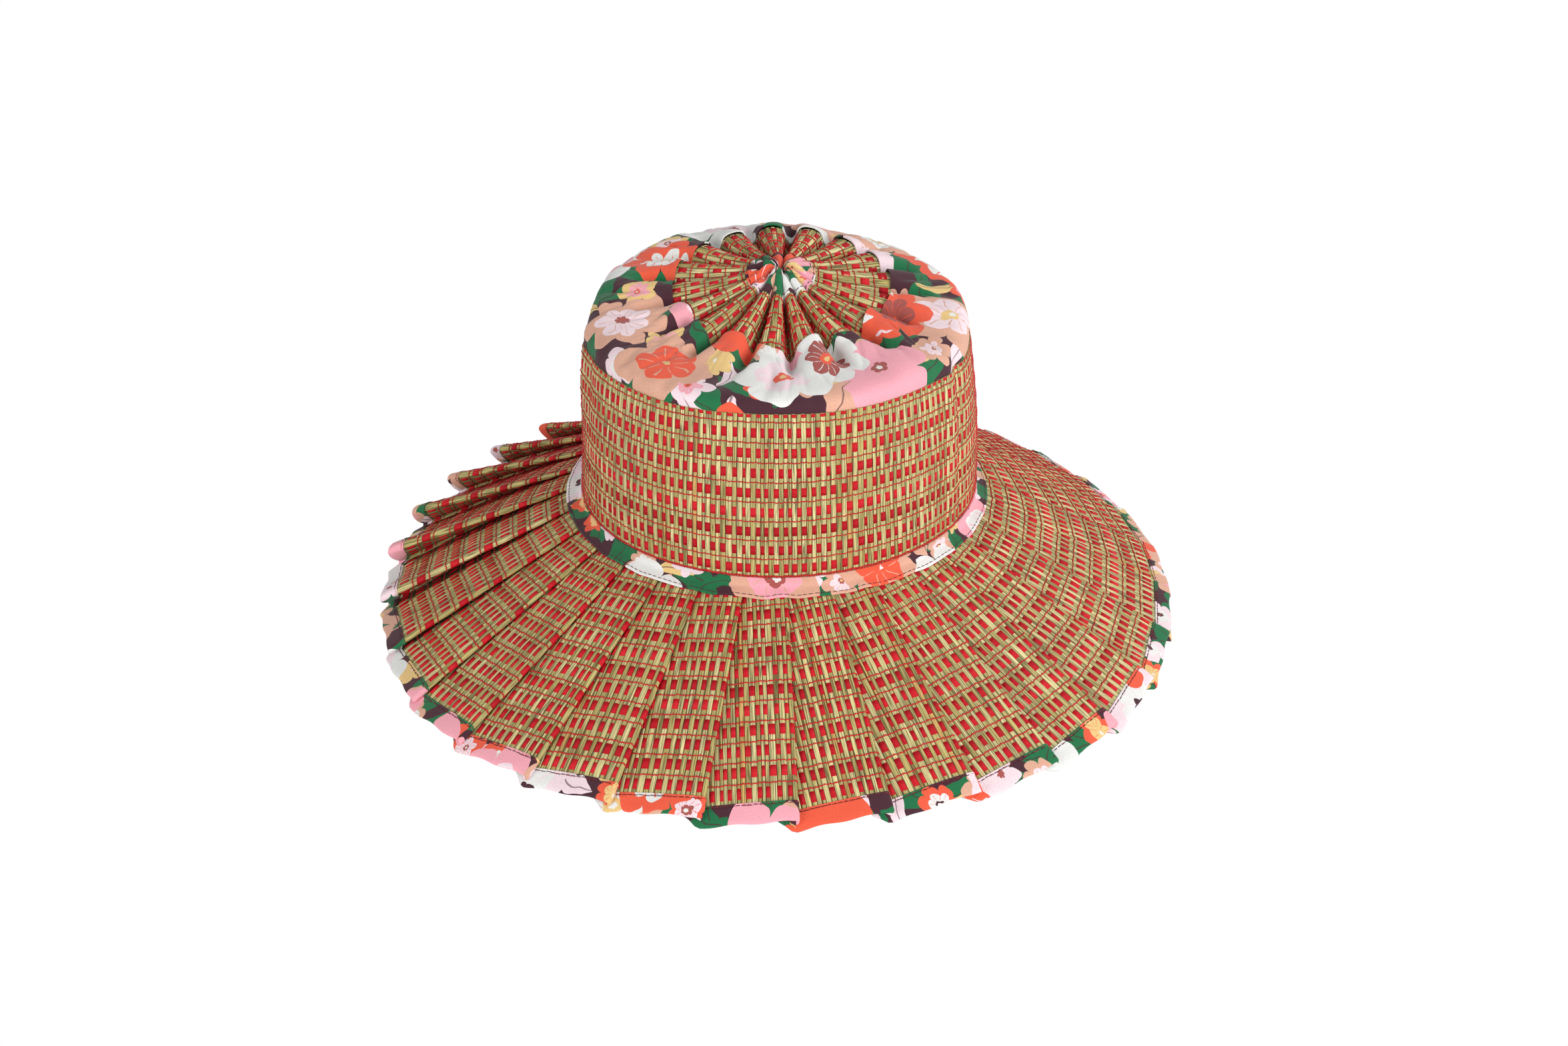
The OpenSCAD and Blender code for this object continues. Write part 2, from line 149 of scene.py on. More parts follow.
# A place on a sheet is (pleat k, q across the reeds, s along them). Pleat k runs from its hidden
# start (q about -46) up the panel to the crest (0), round its fold, back along the return and
# round the hidden valley.
def brimSurf(k, q, s):
    up, g = raised(k), grown(s)
    h, t = pleatH(k, s), tuck(k, s)
    start = pitchAngle + tuck(k - 1, s) / s
    v, vNext = valley(k, s), valley(k + 1, s)
    foldR = np.minimum(0.26 * h, lerp(brim["gap"], lerp(brim["edgeGap"], brim["ridgeGap"], up), g) / 2)
    soft = lerp(0.1, 1.0, np.minimum(1, 1.8 * up + 0.65 * wavy(k)) * g)
    # panel
    w = np.maximum(-q, 0)
    inward = s - w * leanTan
    b = np.arctan2(w, inward)
    x = np.clip(1 - b / start, -0.02, 1)
    panelLift = v + h * lerp(x, smooth(np.clip(x, 0, 1) ** lerp(1, 1.6, up)), soft)
    panelLift += 0.35 * np.sin(np.pi * x) * np.sin(s * 0.055 + k * 2.3) * g
    limit = np.minimum(1, rowR(s, pitchAngle) / np.hypot(w, inward))
    # fold
    a0 = np.arctan(h * (1 - soft) / (start * s))
    turn = np.arctan2(np.maximum(0.1, v + h - 4 * foldR - vNext), t)
    phi = lerp(-a0, np.pi - turn, np.clip(q / foldQ, 0, 1))
    foldX = foldR * np.sin(a0) + foldR * np.sin(phi)
    foldZ = v + h - foldR * np.cos(a0) + foldR * np.cos(phi)
    # valley, and the return that leads to it
    psi = lerp(np.pi / 2 + turn, 1.5 * np.pi, np.clip((q - returnQ) / (valleyQ - returnQ), 0, 1))
    valleyX, valleyZ = -t + foldR * np.cos(psi), vNext + foldR + foldR * np.sin(psi)
    e = np.clip((q - foldQ) / (returnQ - foldQ), 0, 1)
    backX = lerp(foldX, valleyX, e)
    backZ = lerp(foldZ, valleyZ, e) - 0.10 * h * up * np.sin(np.pi * e)
    parts = [q <= 0, q <= foldQ, q < returnQ]
    across = np.select(parts, [-w * limit, foldX, backX], valleyX)
    lift = np.select(parts, [panelLift, foldZ, backZ], valleyZ)
    along = np.where(q <= 0, inward * limit, lerp(s, rowR(s, pitchAngle), np.clip(q / valleyQ, 0, 1)))
    # the hidden fold draws back from the brim's edge
    hidden = np.where(q <= 0, smooth((b - pitchAngle) / (start - pitchAngle)), smooth((q - 1.5) / 14))
    along = along - brim["foldBack"] * hidden * np.clip((s - brim["outR"] + 25) / 25, 0, 1.1) ** 2
    a = crestAngle(k)
    r = np.hypot(along, across)
    xx, yy = along * np.cos(a) - across * np.sin(a), along * np.sin(a) + across * np.cos(a)
    # the brim is drawn in at the back and spreads at its front corners
    spread = sum(bell(angleGap(np.arctan2(yy, xx), rad(side)), 0.35) for side in brim["corners"])
    pull = brim["cornerOut"] * spread - brim["backIn"] * smooth(yy / r + 0.1)
    drawn = 1 + pull * np.clip(brimShare(s), 0, 1)
    return np.stack([xx * drawn, yy * drawn, brimZ(r) + lift], -1)


# The side band: its radius at the foot, its taper and belly, and its rows of thread
band = {
    "r": 94.88, "taper": 7.1, "belly": 0.9, "low": 51.22, "high": 127.92, "joinAngle": -29, "leftFlat": 2.0,
    "firstRow": 54.6, "rows": 9, "pitch": 8.72, "foot": 55.2,
    "dents": ((-168, 1.3), (-158, -0.8), (157, 0.9)),  # upright dents: side in degrees, depth
}


def bandShare(z):
    return (z - band["low"]) / (band["high"] - band["low"])


def bandR(z):
    t = bandShare(z)
    return band["r"] - (band["taper"] * t - 4 * band["belly"] * t * (1 - t))


def leftFlat(a):
    return band["leftFlat"] * bell(angleGap(a, np.pi), 0.5)


# Soft dents of a handled hat, and the crease beside the lapped join
def bandDent(a, t):
    dent = 0.7 * np.sin(3 * a + 0.8 + 2 * t) * np.sin(np.pi * t)
    dent += 0.45 * np.sin(8 * a + 1.9 - 3 * t) * t
    join = -angleGap(a, rad(band["joinAngle"])) * band["r"]
    dent -= 1.5 * bell(join + 1.0, 4.5) * (0.3 + 0.7 * t)
    dent += 0.9 * bell(join - 7.0, 5.5) * (0.3 + 0.7 * t)
    for side, depth in band["dents"]:
        dent += depth * bell(angleGap(a, rad(side)), 0.055) * smooth((t - 0.35) / 0.5)
    return dent


def bandSurf(k, q, s):
    a = rad(band["joinAngle"]) - q / band["r"]
    return polar(a, bandR(s) + bandDent(a, np.clip(bandShare(s), 0, 1)) - leftFlat(a), s)


# The crown: the puffed ring's height in front and at the back, and the pleated rosette that it
# carries, a little off the hat's middle; each flank of a pleat is a stretch of q.
crown = {
    "frontH": 9.0, "backH": 26.5, "rimFront": 4.0, "rimBack": 25.0, "rosetteR": 50.5, "rosetteZ": 153.4,
    "pleats": 17, "flank": 11.0, "depthOut": 8.5, "depthIn": 9.5, "matInR": 11.2, "middle": (1.8, 3.4),
    "firstRow": 17.3, "rows": 5, "pitch": 8.5,
}


def backShare(a):
    return (1 + np.sin(a)) / 2


def rimZ(a):
    return band["high"] + lerp(crown["rimFront"], crown["rimBack"], backShare(a))


def pleatAngle(x, share):
    half = np.pi / crown["pleats"]
    return half * (x + lerp(0.135, 0.095, share) * np.sin(tau * x) - 0.15 * np.sin(np.pi * x))


def rosetteZ(x, a, share):
    depth = lerp(crown["depthIn"], crown["depthOut"] * (1 + 0.14 * np.sin(5 * a + 0.4)), share)
    top = lerp(crown["rosetteZ"], rimZ(a), share) - 1.2 * np.sin(np.pi * np.clip(share, 0, 1))
    return top + depth * (((1 - np.cos(np.pi * x)) / 2) ** 0.64 - 0.58)


def rosetteSurf(k, q, s):
    x, share = q / crown["flank"], s / crown["rosetteR"]
    a = pleatAngle(x, share)
    a = a + rad(1.6) * np.sin(3 * a + 1) * (1 - share)
    return polar(a, s, rosetteZ(x, a, share), crown["middle"])


# Puts points on a sheet, raised by n along its normal
def place(surf, k, q, s, n):
    k, q, s, n = np.broadcast_arrays(np.asarray(k, float), q, s, n)
    e = 0.06
    dq = surf(k, q + e, s) - surf(k, q - e, s)
    ds = surf(k, q, s + e) - surf(k, q, s - e)
    return surf(k, q, s) + n[..., None] * unit(np.cross(ds, dq))


# Skins strips of sections and makes the piece. points is (strips, along, round, 3), uv the same
# with 2 values in real millimetres; finish is a material and its slot; keep leaves out steps.
def sweep(name, points, uv, finish, node=None, closeAlong=False, keep=None, tone=None, groove=None, sharp=70):
    count, along, around, _ = points.shape
    steps = along if closeAlong else along - 1
    i, m, c = np.meshgrid(np.arange(count), np.arange(steps), np.arange(around), indexing="ij")
    i, m, c = (x.ravel() if keep is None else x[keep[:, :steps]].ravel() for x in (i, m, c))

    def vert(i, m, c):
        return (i * along + m % along) * around + c % around

    corners = [(i, m, c), (i, m + 1, c), (i, m + 1, c + 1), (i, m, c + 1)]
    quads = np.stack([vert(*corner) for corner in corners], 1)
    # strips lie in columns and rows on the sheet that holds the baked picture
    girth = max(1e-3, float(np.linalg.norm(np.diff(points, axis=2), axis=-1).sum(-1).mean()))
    long = max(1e-3, float(np.linalg.norm(np.diff(points, axis=1), axis=-1).sum(1).mean()))
    columns = max(1, min(count, round(math.sqrt(count * long / girth))))
    rows = math.ceil(count / columns)
    pad = 0.04 if count > 1 else 0.002  # margin round a strip

    def bakeUv(i, m, c):
        x = (i % columns + pad + (1 - 2 * pad) * c / around) / columns
        y = (i // columns + pad + (1 - 2 * pad) * m / max(1, steps)) / rows
        return np.stack([x, y], -1)

    def realUv(i, m, c):
        base = uv[i, m % along, c % around].astype(float)
        if closeAlong:
            past = uv[i, along - 1, c % around] * 2 - uv[i, along - 2, c % around]
            base = np.where((m == along)[:, None], past, base)
        return np.where((c == around)[:, None], uv[i, m % along, 0], base)

    loops = quads.ravel()
    bake = np.stack([bakeUv(*corner) for corner in corners], 1).reshape(-1, 2)
    real = np.stack([realUv(*corner) for corner in corners], 1).reshape(-1, 2)
    starts = np.arange(len(quads)) * 4
    faceStrip = i
    if not closeAlong:  # caps at both ends of each strip
        first = np.zeros(count, int) if keep is None else keep.argmax(1)
        ring, n = np.arange(around), np.arange(count)
        for end, order in ((first, ring), (np.full(count, along - 1), ring[::-1])):
            spot = n[:, None], end[:, None], order[None, :]
            starts = np.concatenate([starts, len(loops) + n * around])
            loops = np.concatenate([loops, vert(*spot).ravel()])
            flat = bakeUv(np.repeat(n, around), np.repeat(end, around) * 1.0, np.tile(order, count) * 0.0)
            bake, real = np.concatenate([bake, flat]), np.concatenate([real, uv[spot].reshape(-1, 2)])
            faceStrip = np.concatenate([faceStrip, n])
    used, inverse = np.unique(loops, return_inverse=True)
    mesh = bpy.data.meshes.new(name)
    mesh.vertices.add(len(used))
    mesh.vertices.foreach_set("co", (points.reshape(-1, 3)[used] / 1000).ravel())
    mesh.loops.add(len(loops))
    mesh.loops.foreach_set("vertex_index", inverse.ravel().astype(np.int32))
    mesh.polygons.add(len(starts))
    mesh.polygons.foreach_set("loop_start", starts.astype(np.int32))
    mesh.update(calc_edges=True)
    for layer, values in (("OFBake", bake), ("cloth", real)):
        mesh.uv_layers.new(name=layer).data.foreach_set("uv", values.astype(np.float32).ravel())
    if tone is not None:
        values = np.asarray(tone, np.float32)[faceStrip]
        mesh.attributes.new("tone", "FLOAT", "FACE").data.foreach_set("value", values)
    if groove is not None:
        values = np.broadcast_to(np.asarray(groove, np.float32), points.shape[:3]).ravel()[used]
        mesh.attributes.new("groove", "FLOAT", "POINT").data.foreach_set("value", np.ascontiguousarray(values))
    mesh.polygons.foreach_set("use_smooth", np.ones(len(starts), bool))
    mesh.set_sharp_from_angle(angle=rad(sharp))
    material, slot = finish
    mesh.materials.append(material)
    piece = bpy.data.objects.new(name, mesh)
    bpy.context.scene.collection.objects.link(piece)
    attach(piece, "root")
    if node:
        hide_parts(node)
    print("made", name, len(mesh.polygons), "faces")
    return piece


# A closed skin of cloth; the areas of its faces are read, and nothing uses them
def clothPiece(name, node, points, uv, finish, sharp=60):
    piece = sweep(name, points[None], uv[None], finish, node, closeAlong=True, sharp=sharp)
    areas = np.empty(len(piece.data.polygons))
    piece.data.polygons.foreach_get("area", areas)


def linear(code):
    v = [int(code[i:i + 2], 16) / 255 for i in (1, 3, 5)]
    return tuple(x / 12.92 if x <= 0.04045 else ((x + 0.055) / 1.055) ** 2.4 for x in v) + (1.0,)


def newMaterial(name):
    material = bpy.data.materials.new(name)
    material.use_nodes = True
    material.node_tree.nodes.clear()
    return material, material.node_tree


# Adds a node and gives one output back. inputs are values or other outputs, in the sockets' order
# or by name; stops are a ramp's places, each with a hex colour or a grey.
def add(tree, kind, inputs=(), out=0, stops=(), **settings):
    node = tree.nodes.new("ShaderNode" + kind)
    for key, value in settings.items():
        setattr(node, key, value)
    for key, value in (inputs if isinstance(inputs, dict) else dict(enumerate(inputs))).items():
        if isinstance(value, bpy.types.NodeSocket):
            tree.links.new(value, node.inputs[key])
        else:
            node.inputs[key].default_value = value
    if stops:
        spots = node.color_ramp.elements
        while len(spots) < len(stops):
            spots.new(0.5)
        for spot, (position, colour) in zip(spots, stops):
            spot.position = position
            spot.color = linear(colour) if isinstance(colour, str) else (colour, colour, colour, 1)
    return node if out is None else node.outputs[out]


# Puts a value through a row of nodes: each step is an operation and its other inputs
def chain(tree, kind, value, *steps):
    for operation, *others in steps:
        value = add(tree, kind, [value, *others], operation=operation)
    return value


# Layers of (factor, colour) laid over a colour
def layered(tree, colour, layers, blend="MIX"):
    for factor, layer in layers:
        colour = add(tree, "Mix", {0: factor, 6: colour, 7: layer}, 2, data_type="RGBA", blend_type=blend)
    return colour


# Bumps of (height, metres, strength), then the shader and the output
def finishSurface(tree, colour, bumps, sockets):
    inputs = {"Base Color": colour, **sockets}
    for height, distance, strength in bumps:
        links = {"Height": height, "Distance": distance, "Strength": strength}
        if "Normal" in inputs:
            links["Normal"] = inputs["Normal"]
        inputs["Normal"] = add(tree, "Bump", links)
    add(tree, "OutputMaterial", {"Surface": add(tree, "BsdfPrincipled", inputs)}, None)


# Places on the unrolled cloth or reed, in patterns to a millimetre
def clothUv(tree, scale=(1, 1, 1)):
    uv = add(tree, "UVMap", uv_map="cloth")
    return add(tree, "Mapping", {0: uv, "Scale": scale})


# Split and dried reed: a dry straw skin, pale or olive from reed to reed, with fine dark fibres
# and hairline splits along it and a dull shine where the skin is whole
reed = {
    "pale": "#D8CD95", "light": "#CCC085", "olive": "#B8AB6B", "shade": "#9F9253", "amber": "#C6A260",
    # the last colour is dark dust mixed with painted shade, laid into the grooves between reeds
    "split": "#463A18", "dust_and_shade": "#1D1B08",
    # across and along a reed to a millimetre, detail, roughness: fibres 0.28 x 11 mm, patches
    # 2 x 20 mm, splits 1.2 x 50 mm
    "noises": ((3.6, 0.09, 4.0, 0.65), (0.5, 0.05, 2.0, 0.5), (0.85, 0.02, 1.0, 0.5)),
}


def reedMaterial():
    material, tree = newMaterial("reed_matting_split_dried")
    tone = add(tree, "Attribute", (), "Fac", attribute_name="tone")
    base = add(tree, "ValToRGB", [tone], stops=[
        (0, reed["shade"]), (0.12, reed["olive"]), (0.46, reed["olive"]), (0.5, reed["light"]),
        (0.8, reed["pale"]), (0.97, reed["pale"]), (0.98, reed["amber"])])
    shift = add(tree, "CombineXYZ", {"Z": chain(tree, "Math", tone, ("MULTIPLY", 40.0))})  # no two reeds alike
    noises = []
    for across, along, detail, rough in reed["noises"]:
        spot = add(tree, "VectorMath", [clothUv(tree, (across, along, 1)), shift], operation="ADD")
        noises.append(add(tree, "TexNoise", {"Vector": spot, "Scale": 1.0, "Detail": detail, "Roughness": rough}))
    fibre, patch, split = noises
    split = chain(tree, "Math", split, ("SUBTRACT", 0.5), ("ABSOLUTE",))
    split = add(tree, "ValToRGB", [split], stops=[(0.0, 1.0), (0.016, 0.8), (0.045, 0.0)])
    streak = add(tree, "ValToRGB", [fibre], stops=[(0.40, 0.32), (0.47, 0.78), (0.54, 1.0), (0.68, 1.18)])
    wash = add(tree, "ValToRGB", [patch], stops=[(0.3, "#B9AE74"), (0.5, "#FFFFFF"), (0.75, "#F3E9B4")])
    # painted shade, with some dust, where one reed meets the next, and on the brim painted shade along the gap under
    # each crest and over the hidden returns
    groove = add(tree, "Attribute", (), "Fac", attribute_name="groove")
    groove = chain(tree, "Math", fibre, ("SUBTRACT", 0.45), ("MULTIPLY", 0.9), ("ADD", groove))
    groove = add(tree, "ValToRGB", [groove], stops=[(0.35, 0.0), (0.9, 1.0)])
    colour = layered(tree, base, [(0.9, streak), (0.55, wash)], "MULTIPLY")
    colour = layered(tree, colour, [(chain(tree, "Math", split, ("MULTIPLY", 0.8)), linear(reed["split"])),
                                    (chain(tree, "Math", groove, ("MULTIPLY", 0.93)), linear(reed["dust_and_shade"]))])
    rough = add(tree, "ValToRGB", [fibre], stops=[(0.3, 0.62), (0.7, 0.44)])
    finishSurface(tree, colour, [(fibre, 0.00012, 0.9)], {"Roughness": rough, "Specular IOR Level": 0.42})
    return material


# Ribbon of flat viscose strands, laid side by side: deep red with lighter strands 0.6 mm apart
# (a wave texture's bands lie about 0.31 / scale apart) and a soft sheen along them
def ribbonMaterial():
    material, tree = newMaterial("red_ribbon_of_flat_strands")
    tone = add(tree, "Attribute", (), "Fac", attribute_name="tone")
    base = add(tree, "ValToRGB", [tone], stops=[(0, "#A80B19"), (0.45, "#C01120"), (0.55, "#CC1524"), (1, "#DE252F")])
    strand = add(tree, "TexWave", {"Vector": clothUv(tree, (0.12, 1, 1)), "Scale": 0.312 / 0.6, "Distortion": 1.6,
                                   "Detail": 2.0}, "Fac", bands_direction="Y")
    noise = add(tree, "TexNoise", {"Vector": clothUv(tree, (0.8, 4, 1)), "Scale": 1.0, "Detail": 3.0})
    colour = layered(tree, base, [
        (0.6, add(tree, "ValToRGB", [strand], stops=[(0.0, 0.55), (0.45, 0.95), (1, 1.08)])),
        (0.5, add(tree, "ValToRGB", [noise], stops=[(0.3, 0.7), (0.7, 1.15)]))], "MULTIPLY")
    finishSurface(tree, colour, [(strand, 0.00018, 0.8), (noise, 0.00008, 0.5)],
                  {"Roughness": 0.5, "Specular IOR Level": 0.2})
    return material


# Twisted thread: painted shade in slanting lines between painted lit fibres, pitch millimetres apart
def threadMaterial(name, light, dark, pitch):
    material, tree = newMaterial(name)
    twist = add(tree, "TexWave", {"Vector": clothUv(tree, (1, 1.6, 1)), "Scale": 0.31 / pitch, "Distortion": 0.5},
                "Fac", bands_direction="DIAGONAL")
    lit = add(tree, "ValToRGB", [twist], stops=[(0.1, 0.0), (0.6, 1.0)])
    # the dark colour is painted shade in the twist's grooves, the light one painted light on its fibres
    colour = layered(tree, linear(dark), [(lit, linear(light))])
    finishSurface(tree, colour, [(twist, 0.00010, 0.8)], {
        "Roughness": 0.6, "Specular IOR Level": 0.25, "Sheen Weight": 0.08, "Sheen Roughness": 0.4})
    return material


# The cotton's generic floral print: sizes in millimetres, colours by name
palette = {
    "ground": "#44222C", "coral": "#E2583D", "blush": "#D3A18A", "pink": "#E8A0AC", "lilac": "#E6D0D6",
    "mint": "#DDDDDA", "green": "#1A6A40", "sand": "#DDBB7C", "brick": "#A1514B",
}
leafKinds = [  # cell, length, width, colours
    (25, 16.0, 6.5, ["green", "green", "green", "blush"]),
    (19, 10.5, 3.4, ["green", "lilac", "green", "sand"]),
]
flowerKinds = [  # cell, radius, petals, outer and inner colours, share left out
    (23, 8.0, 6, ["sand", "lilac", "coral", "blush"], ["lilac", "sand", "pink", "mint"], 0.1),
    (44, 19.5, 5, ["blush", "lilac", "coral", "mint", "pink", "blush", "mint"],
     ["pink", "mint", "lilac", "coral", "mint"], 0.10),
    (52, 17.5, 7, ["mint", "lilac", "blush", "mint", "coral"], ["lilac", "mint", "brick", "blush"], 0.25),
]
heartColours, dotColours = ["brick", "sand", "coral", "ground"], ["mint", "brick", "mint", "sand"]


# One motif to a cell: a place in it, turned by chance, and the cell's own three chances
def motifs(tree, uv, seed, cell, loose):
    moved = add(tree, "VectorMath", [uv, (seed * 71.3, seed * 37.9, 0)], operation="ADD")
    cells = add(tree, "TexVoronoi", {"Vector": moved, "Scale": 1 / cell, "Randomness": loose}, None,
                voronoi_dimensions="2D", feature="F1").outputs
    local = add(tree, "VectorMath", [moved, cells["Position"]], operation="SUBTRACT")
    chance = add(tree, "SeparateColor", [cells["Color"]], None).outputs
    turn = chain(tree, "Math", chance[0], ("MULTIPLY", tau))
    return add(tree, "VectorRotate", {0: local, "Angle": turn}, rotation_type="Z_AXIS"), chance


# A colour of the palette by chance
def choice(tree, chance, names):
    node = add(tree, "ValToRGB", [chance], None, [(i / len(names), palette[n]) for i, n in enumerate(names)])
    node.color_ramp.interpolation = "CONSTANT"
    return node.outputs[0]


def leaves(tree, colour, uv, seed, cell, length, width, names):
    turned, chance = motifs(tree, uv, seed, cell, 0.8)
    x, y, _ = add(tree, "SeparateXYZ", [turned], None).outputs
    bend = chain(tree, "Math", x, ("MULTIPLY", x), ("MULTIPLY", 0.35 / length))
    side = chain(tree, "Math", y, ("SUBTRACT", bend), ("ABSOLUTE",))
    tip = chain(tree, "Math", x, ("DIVIDE", length), ("ABSOLUTE",), ("POWER", 1.8))
    leaf = chain(tree, "Math", side, ("DIVIDE", width), ("ADD", tip), ("LESS_THAN", 1.0))
    rib = chain(tree, "Math", side, ("LESS_THAN", 0.28), ("MULTIPLY", leaf), ("MULTIPLY", 0.7))
    return layered(tree, colour, [(leaf, choice(tree, chance[2], names)), (rib, linear(palette["ground"]))])


def petals(tree, colour, uv, seed, cell, size, count, outer, inner, skip):
    turned, chance = motifs(tree, uv, seed, cell, 0.55)
    x, y, _ = add(tree, "SeparateXYZ", [turned], None).outputs
    away = add(tree, "VectorMath", [turned], "Value", operation="LENGTH")
    angle = chain(tree, "Math", y, ("ARCTAN2", x))
    edge = chain(tree, "Math", angle, ("MULTIPLY", count / 2), ("SINE",), ("ABSOLUTE",), ("POWER", 0.55),
                 ("MULTIPLY", 0.34), ("ADD", 0.66), ("MULTIPLY", size))
    share = chain(tree, "Math", away, ("DIVIDE", edge))
    shown = chain(tree, "Math", chance[1], ("GREATER_THAN", skip))
    there, inside, heart, dot = (chain(tree, "Math", share, ("LESS_THAN", reach), ("MULTIPLY", shown))
                                 for reach in (1.0, 0.60, 0.2, 0.08))
    # strokes from the middle outwards
    zone = chain(tree, "Math", share, ("GREATER_THAN", 0.22))
    zone = chain(tree, "Math", share, ("LESS_THAN", 0.52), ("MULTIPLY", zone), ("MULTIPLY", there))
    stroke = chain(tree, "Math", angle, ("MULTIPLY", count), ("SINE",), ("ABSOLUTE",), ("LESS_THAN", 0.16),
                   ("MULTIPLY", zone))
    for zone, which, names in ((there, 1, outer), (inside, 2, inner), (stroke, 1, outer), (heart, 2, heartColours),
                               (dot, 1, dotColours)):
        colour = layered(tree, colour, [(zone, choice(tree, chance[which], names))])
    return colour


# Warp and weft threads, spacing millimetres apart
def plainWeave(tree, spacing, loose, detail):
    warp, weft = (add(tree, "TexWave", {"Vector": clothUv(tree), "Scale": 0.315 / spacing, "Distortion": loose,
                                        "Detail": detail}, "Fac", bands_direction=way) for way in "XY")
    return chain(tree, "Math", warp, ("ADD", weft), ("MULTIPLY", 0.5))


# Plain-woven cotton, printed and washed once: matt, with flat inks that the weave and its slubs
# break up, and a faint fuzz at grazing angles
def cottonMaterial(name, seed, scale):
    material, tree = newMaterial(name)
    uv = clothUv(tree, (scale, scale, 1))
    # hand-drawn edges: they sway by up to 2.7 mm over some 8 mm
    sway = add(tree, "TexNoise", {"Vector": uv, "Scale": 0.13, "Detail": 0.6}, "Color")
    drawn = chain(tree, "VectorMath", sway, ("SUBTRACT", (0.5, 0.5, 0.5)), ("MULTIPLY", (5.5, 5.5, 0)), ("ADD", uv))
    colour = linear(palette["ground"])
    for i, kind in enumerate(leafKinds):
        colour = leaves(tree, colour, drawn, seed + 1 + i, *kind)
    for i, kind in enumerate(flowerKinds):
        colour = petals(tree, colour, drawn, seed + 3 + i, *kind)
    # threads 0.35 mm apart, slubs of 0.6 mm and washed clouds of 20 mm
    plain = plainWeave(tree, 0.35, 1.2, 1.0)
    slub = add(tree, "TexNoise", {"Vector": clothUv(tree), "Scale": 1.7, "Detail": 4.0, "Roughness": 0.7})
    cloud = add(tree, "TexNoise", {"Vector": clothUv(tree), "Scale": 1 / 20, "Detail": 3.0})
    colour = layered(tree, colour, [
        (0.75, add(tree, "ValToRGB", [slub], stops=[(0.3, 0.76), (0.7, 1.12)])),
        (0.3, add(tree, "ValToRGB", [plain], stops=[(0.2, 0.8), (0.8, 1.05)])),
        (0.4, add(tree, "ValToRGB", [cloud], stops=[(0.3, 0.88), (0.7, 1.06)]))], "MULTIPLY")
    finishSurface(tree, colour, [(plain, 0.00006, 0.5), (slub, 0.00012, 0.35)], {
        "Roughness": 0.82, "Specular IOR Level": 0.22, "Sheen Weight": 0.12, "Sheen Roughness": 0.5})
    return material


# Unbleached lining cotton, plain-woven with threads 0.53 mm apart: an open, matt weave with
# darker patches of some 8 mm from wear
def liningMaterial():
    material, tree = newMaterial("lining_cotton_plain_weave")
    plain = plainWeave(tree, 0.525, 0.8, 2.0)
    soil = add(tree, "TexNoise", {"Vector": clothUv(tree), "Scale": 0.12, "Detail": 4.0})
    soil = add(tree, "ValToRGB", [soil], stops=[(0.35, 0.0), (0.7, 1.0)])
    threads = add(tree, "ValToRGB", [plain], stops=[(0.2, 0.85), (0.8, 1.0)])
    colour = layered(tree, linear("#E9E2D2"), [(soil, linear("#D8CDB6"))])
    colour = layered(tree, colour, [(0.5, threads)], "MULTIPLY")
    finishSurface(tree, colour, [(plain, 0.00012, 0.6)],
                  {"Roughness": 0.85, "Specular IOR Level": 0.2, "Sheen Weight": 0.15})
    return material


# Each finish is a material and the slot that it stands for.
reedMatting = reedMaterial(), "reed_matting"
redRibbon = ribbonMaterial(), "red_thread"
rowThread = threadMaterial("red_row_thread_twisted", "#D02423", "#921115", 0.6), "red_thread"
sewingThread = threadMaterial("maroon_sewing_thread", "#5A1A26", "#2A0A10", 0.5), "sewing_thread"
ringCotton = cottonMaterial("printed_cotton_puffed_ring", 3, 0.86), "puffed_cotton"
trimCotton = cottonMaterial("printed_cotton_trim", 11, 0.95), "printed_cotton"
liningCotton = liningMaterial(), "lining_cotton"
print("materials ready")


# The weave: reeds side by side, sewn together by rows of thread, with a ribbon between two rows
weave = {
    "pitch": 8.9, "reedW": 2.15, "reedSpread": 0.42, "reedT": 0.33, "bevel": 0.24, "overlap": 0.03, "pinch": 0.13,
    "amberShare": 0.02, "ribbonW": 4.1, "ribbonT": 0.13, "ribbonLift": 0.46, "threadR": 0.37,
}
ribbonSpots, threadSpots = (0.16, 0.84), (0.0, 0.5)  # where a run has stations on a reed


# Widths and tones of reeds that fill a length; pale and dark ones take turns
def columnWidths(length, rng, firstPale):
    widths, tones, at, pale = [], [], 0.0, firstPale
    while at < length:
        middle = weave["reedW"] + (0.05 if pale else -0.05)
        w = float(np.clip(rng.normal(middle, weave["reedSpread"]), 1.3, 3.6))
        tone = rng.uniform(0.48, 0.95) if pale else rng.uniform(0.02, 0.5)
        if rng.random() < weave["amberShare"]:
            tone = 0.99
        widths.append(w)
        tones.append(tone)
        at += w
        pale = not pale
    edges = np.concatenate([[0], np.cumsum(np.array(widths) * (length / at))])
    return edges, np.array(tones), np.array([firstPale ^ (i % 2 == 1) for i in range(len(tones))])


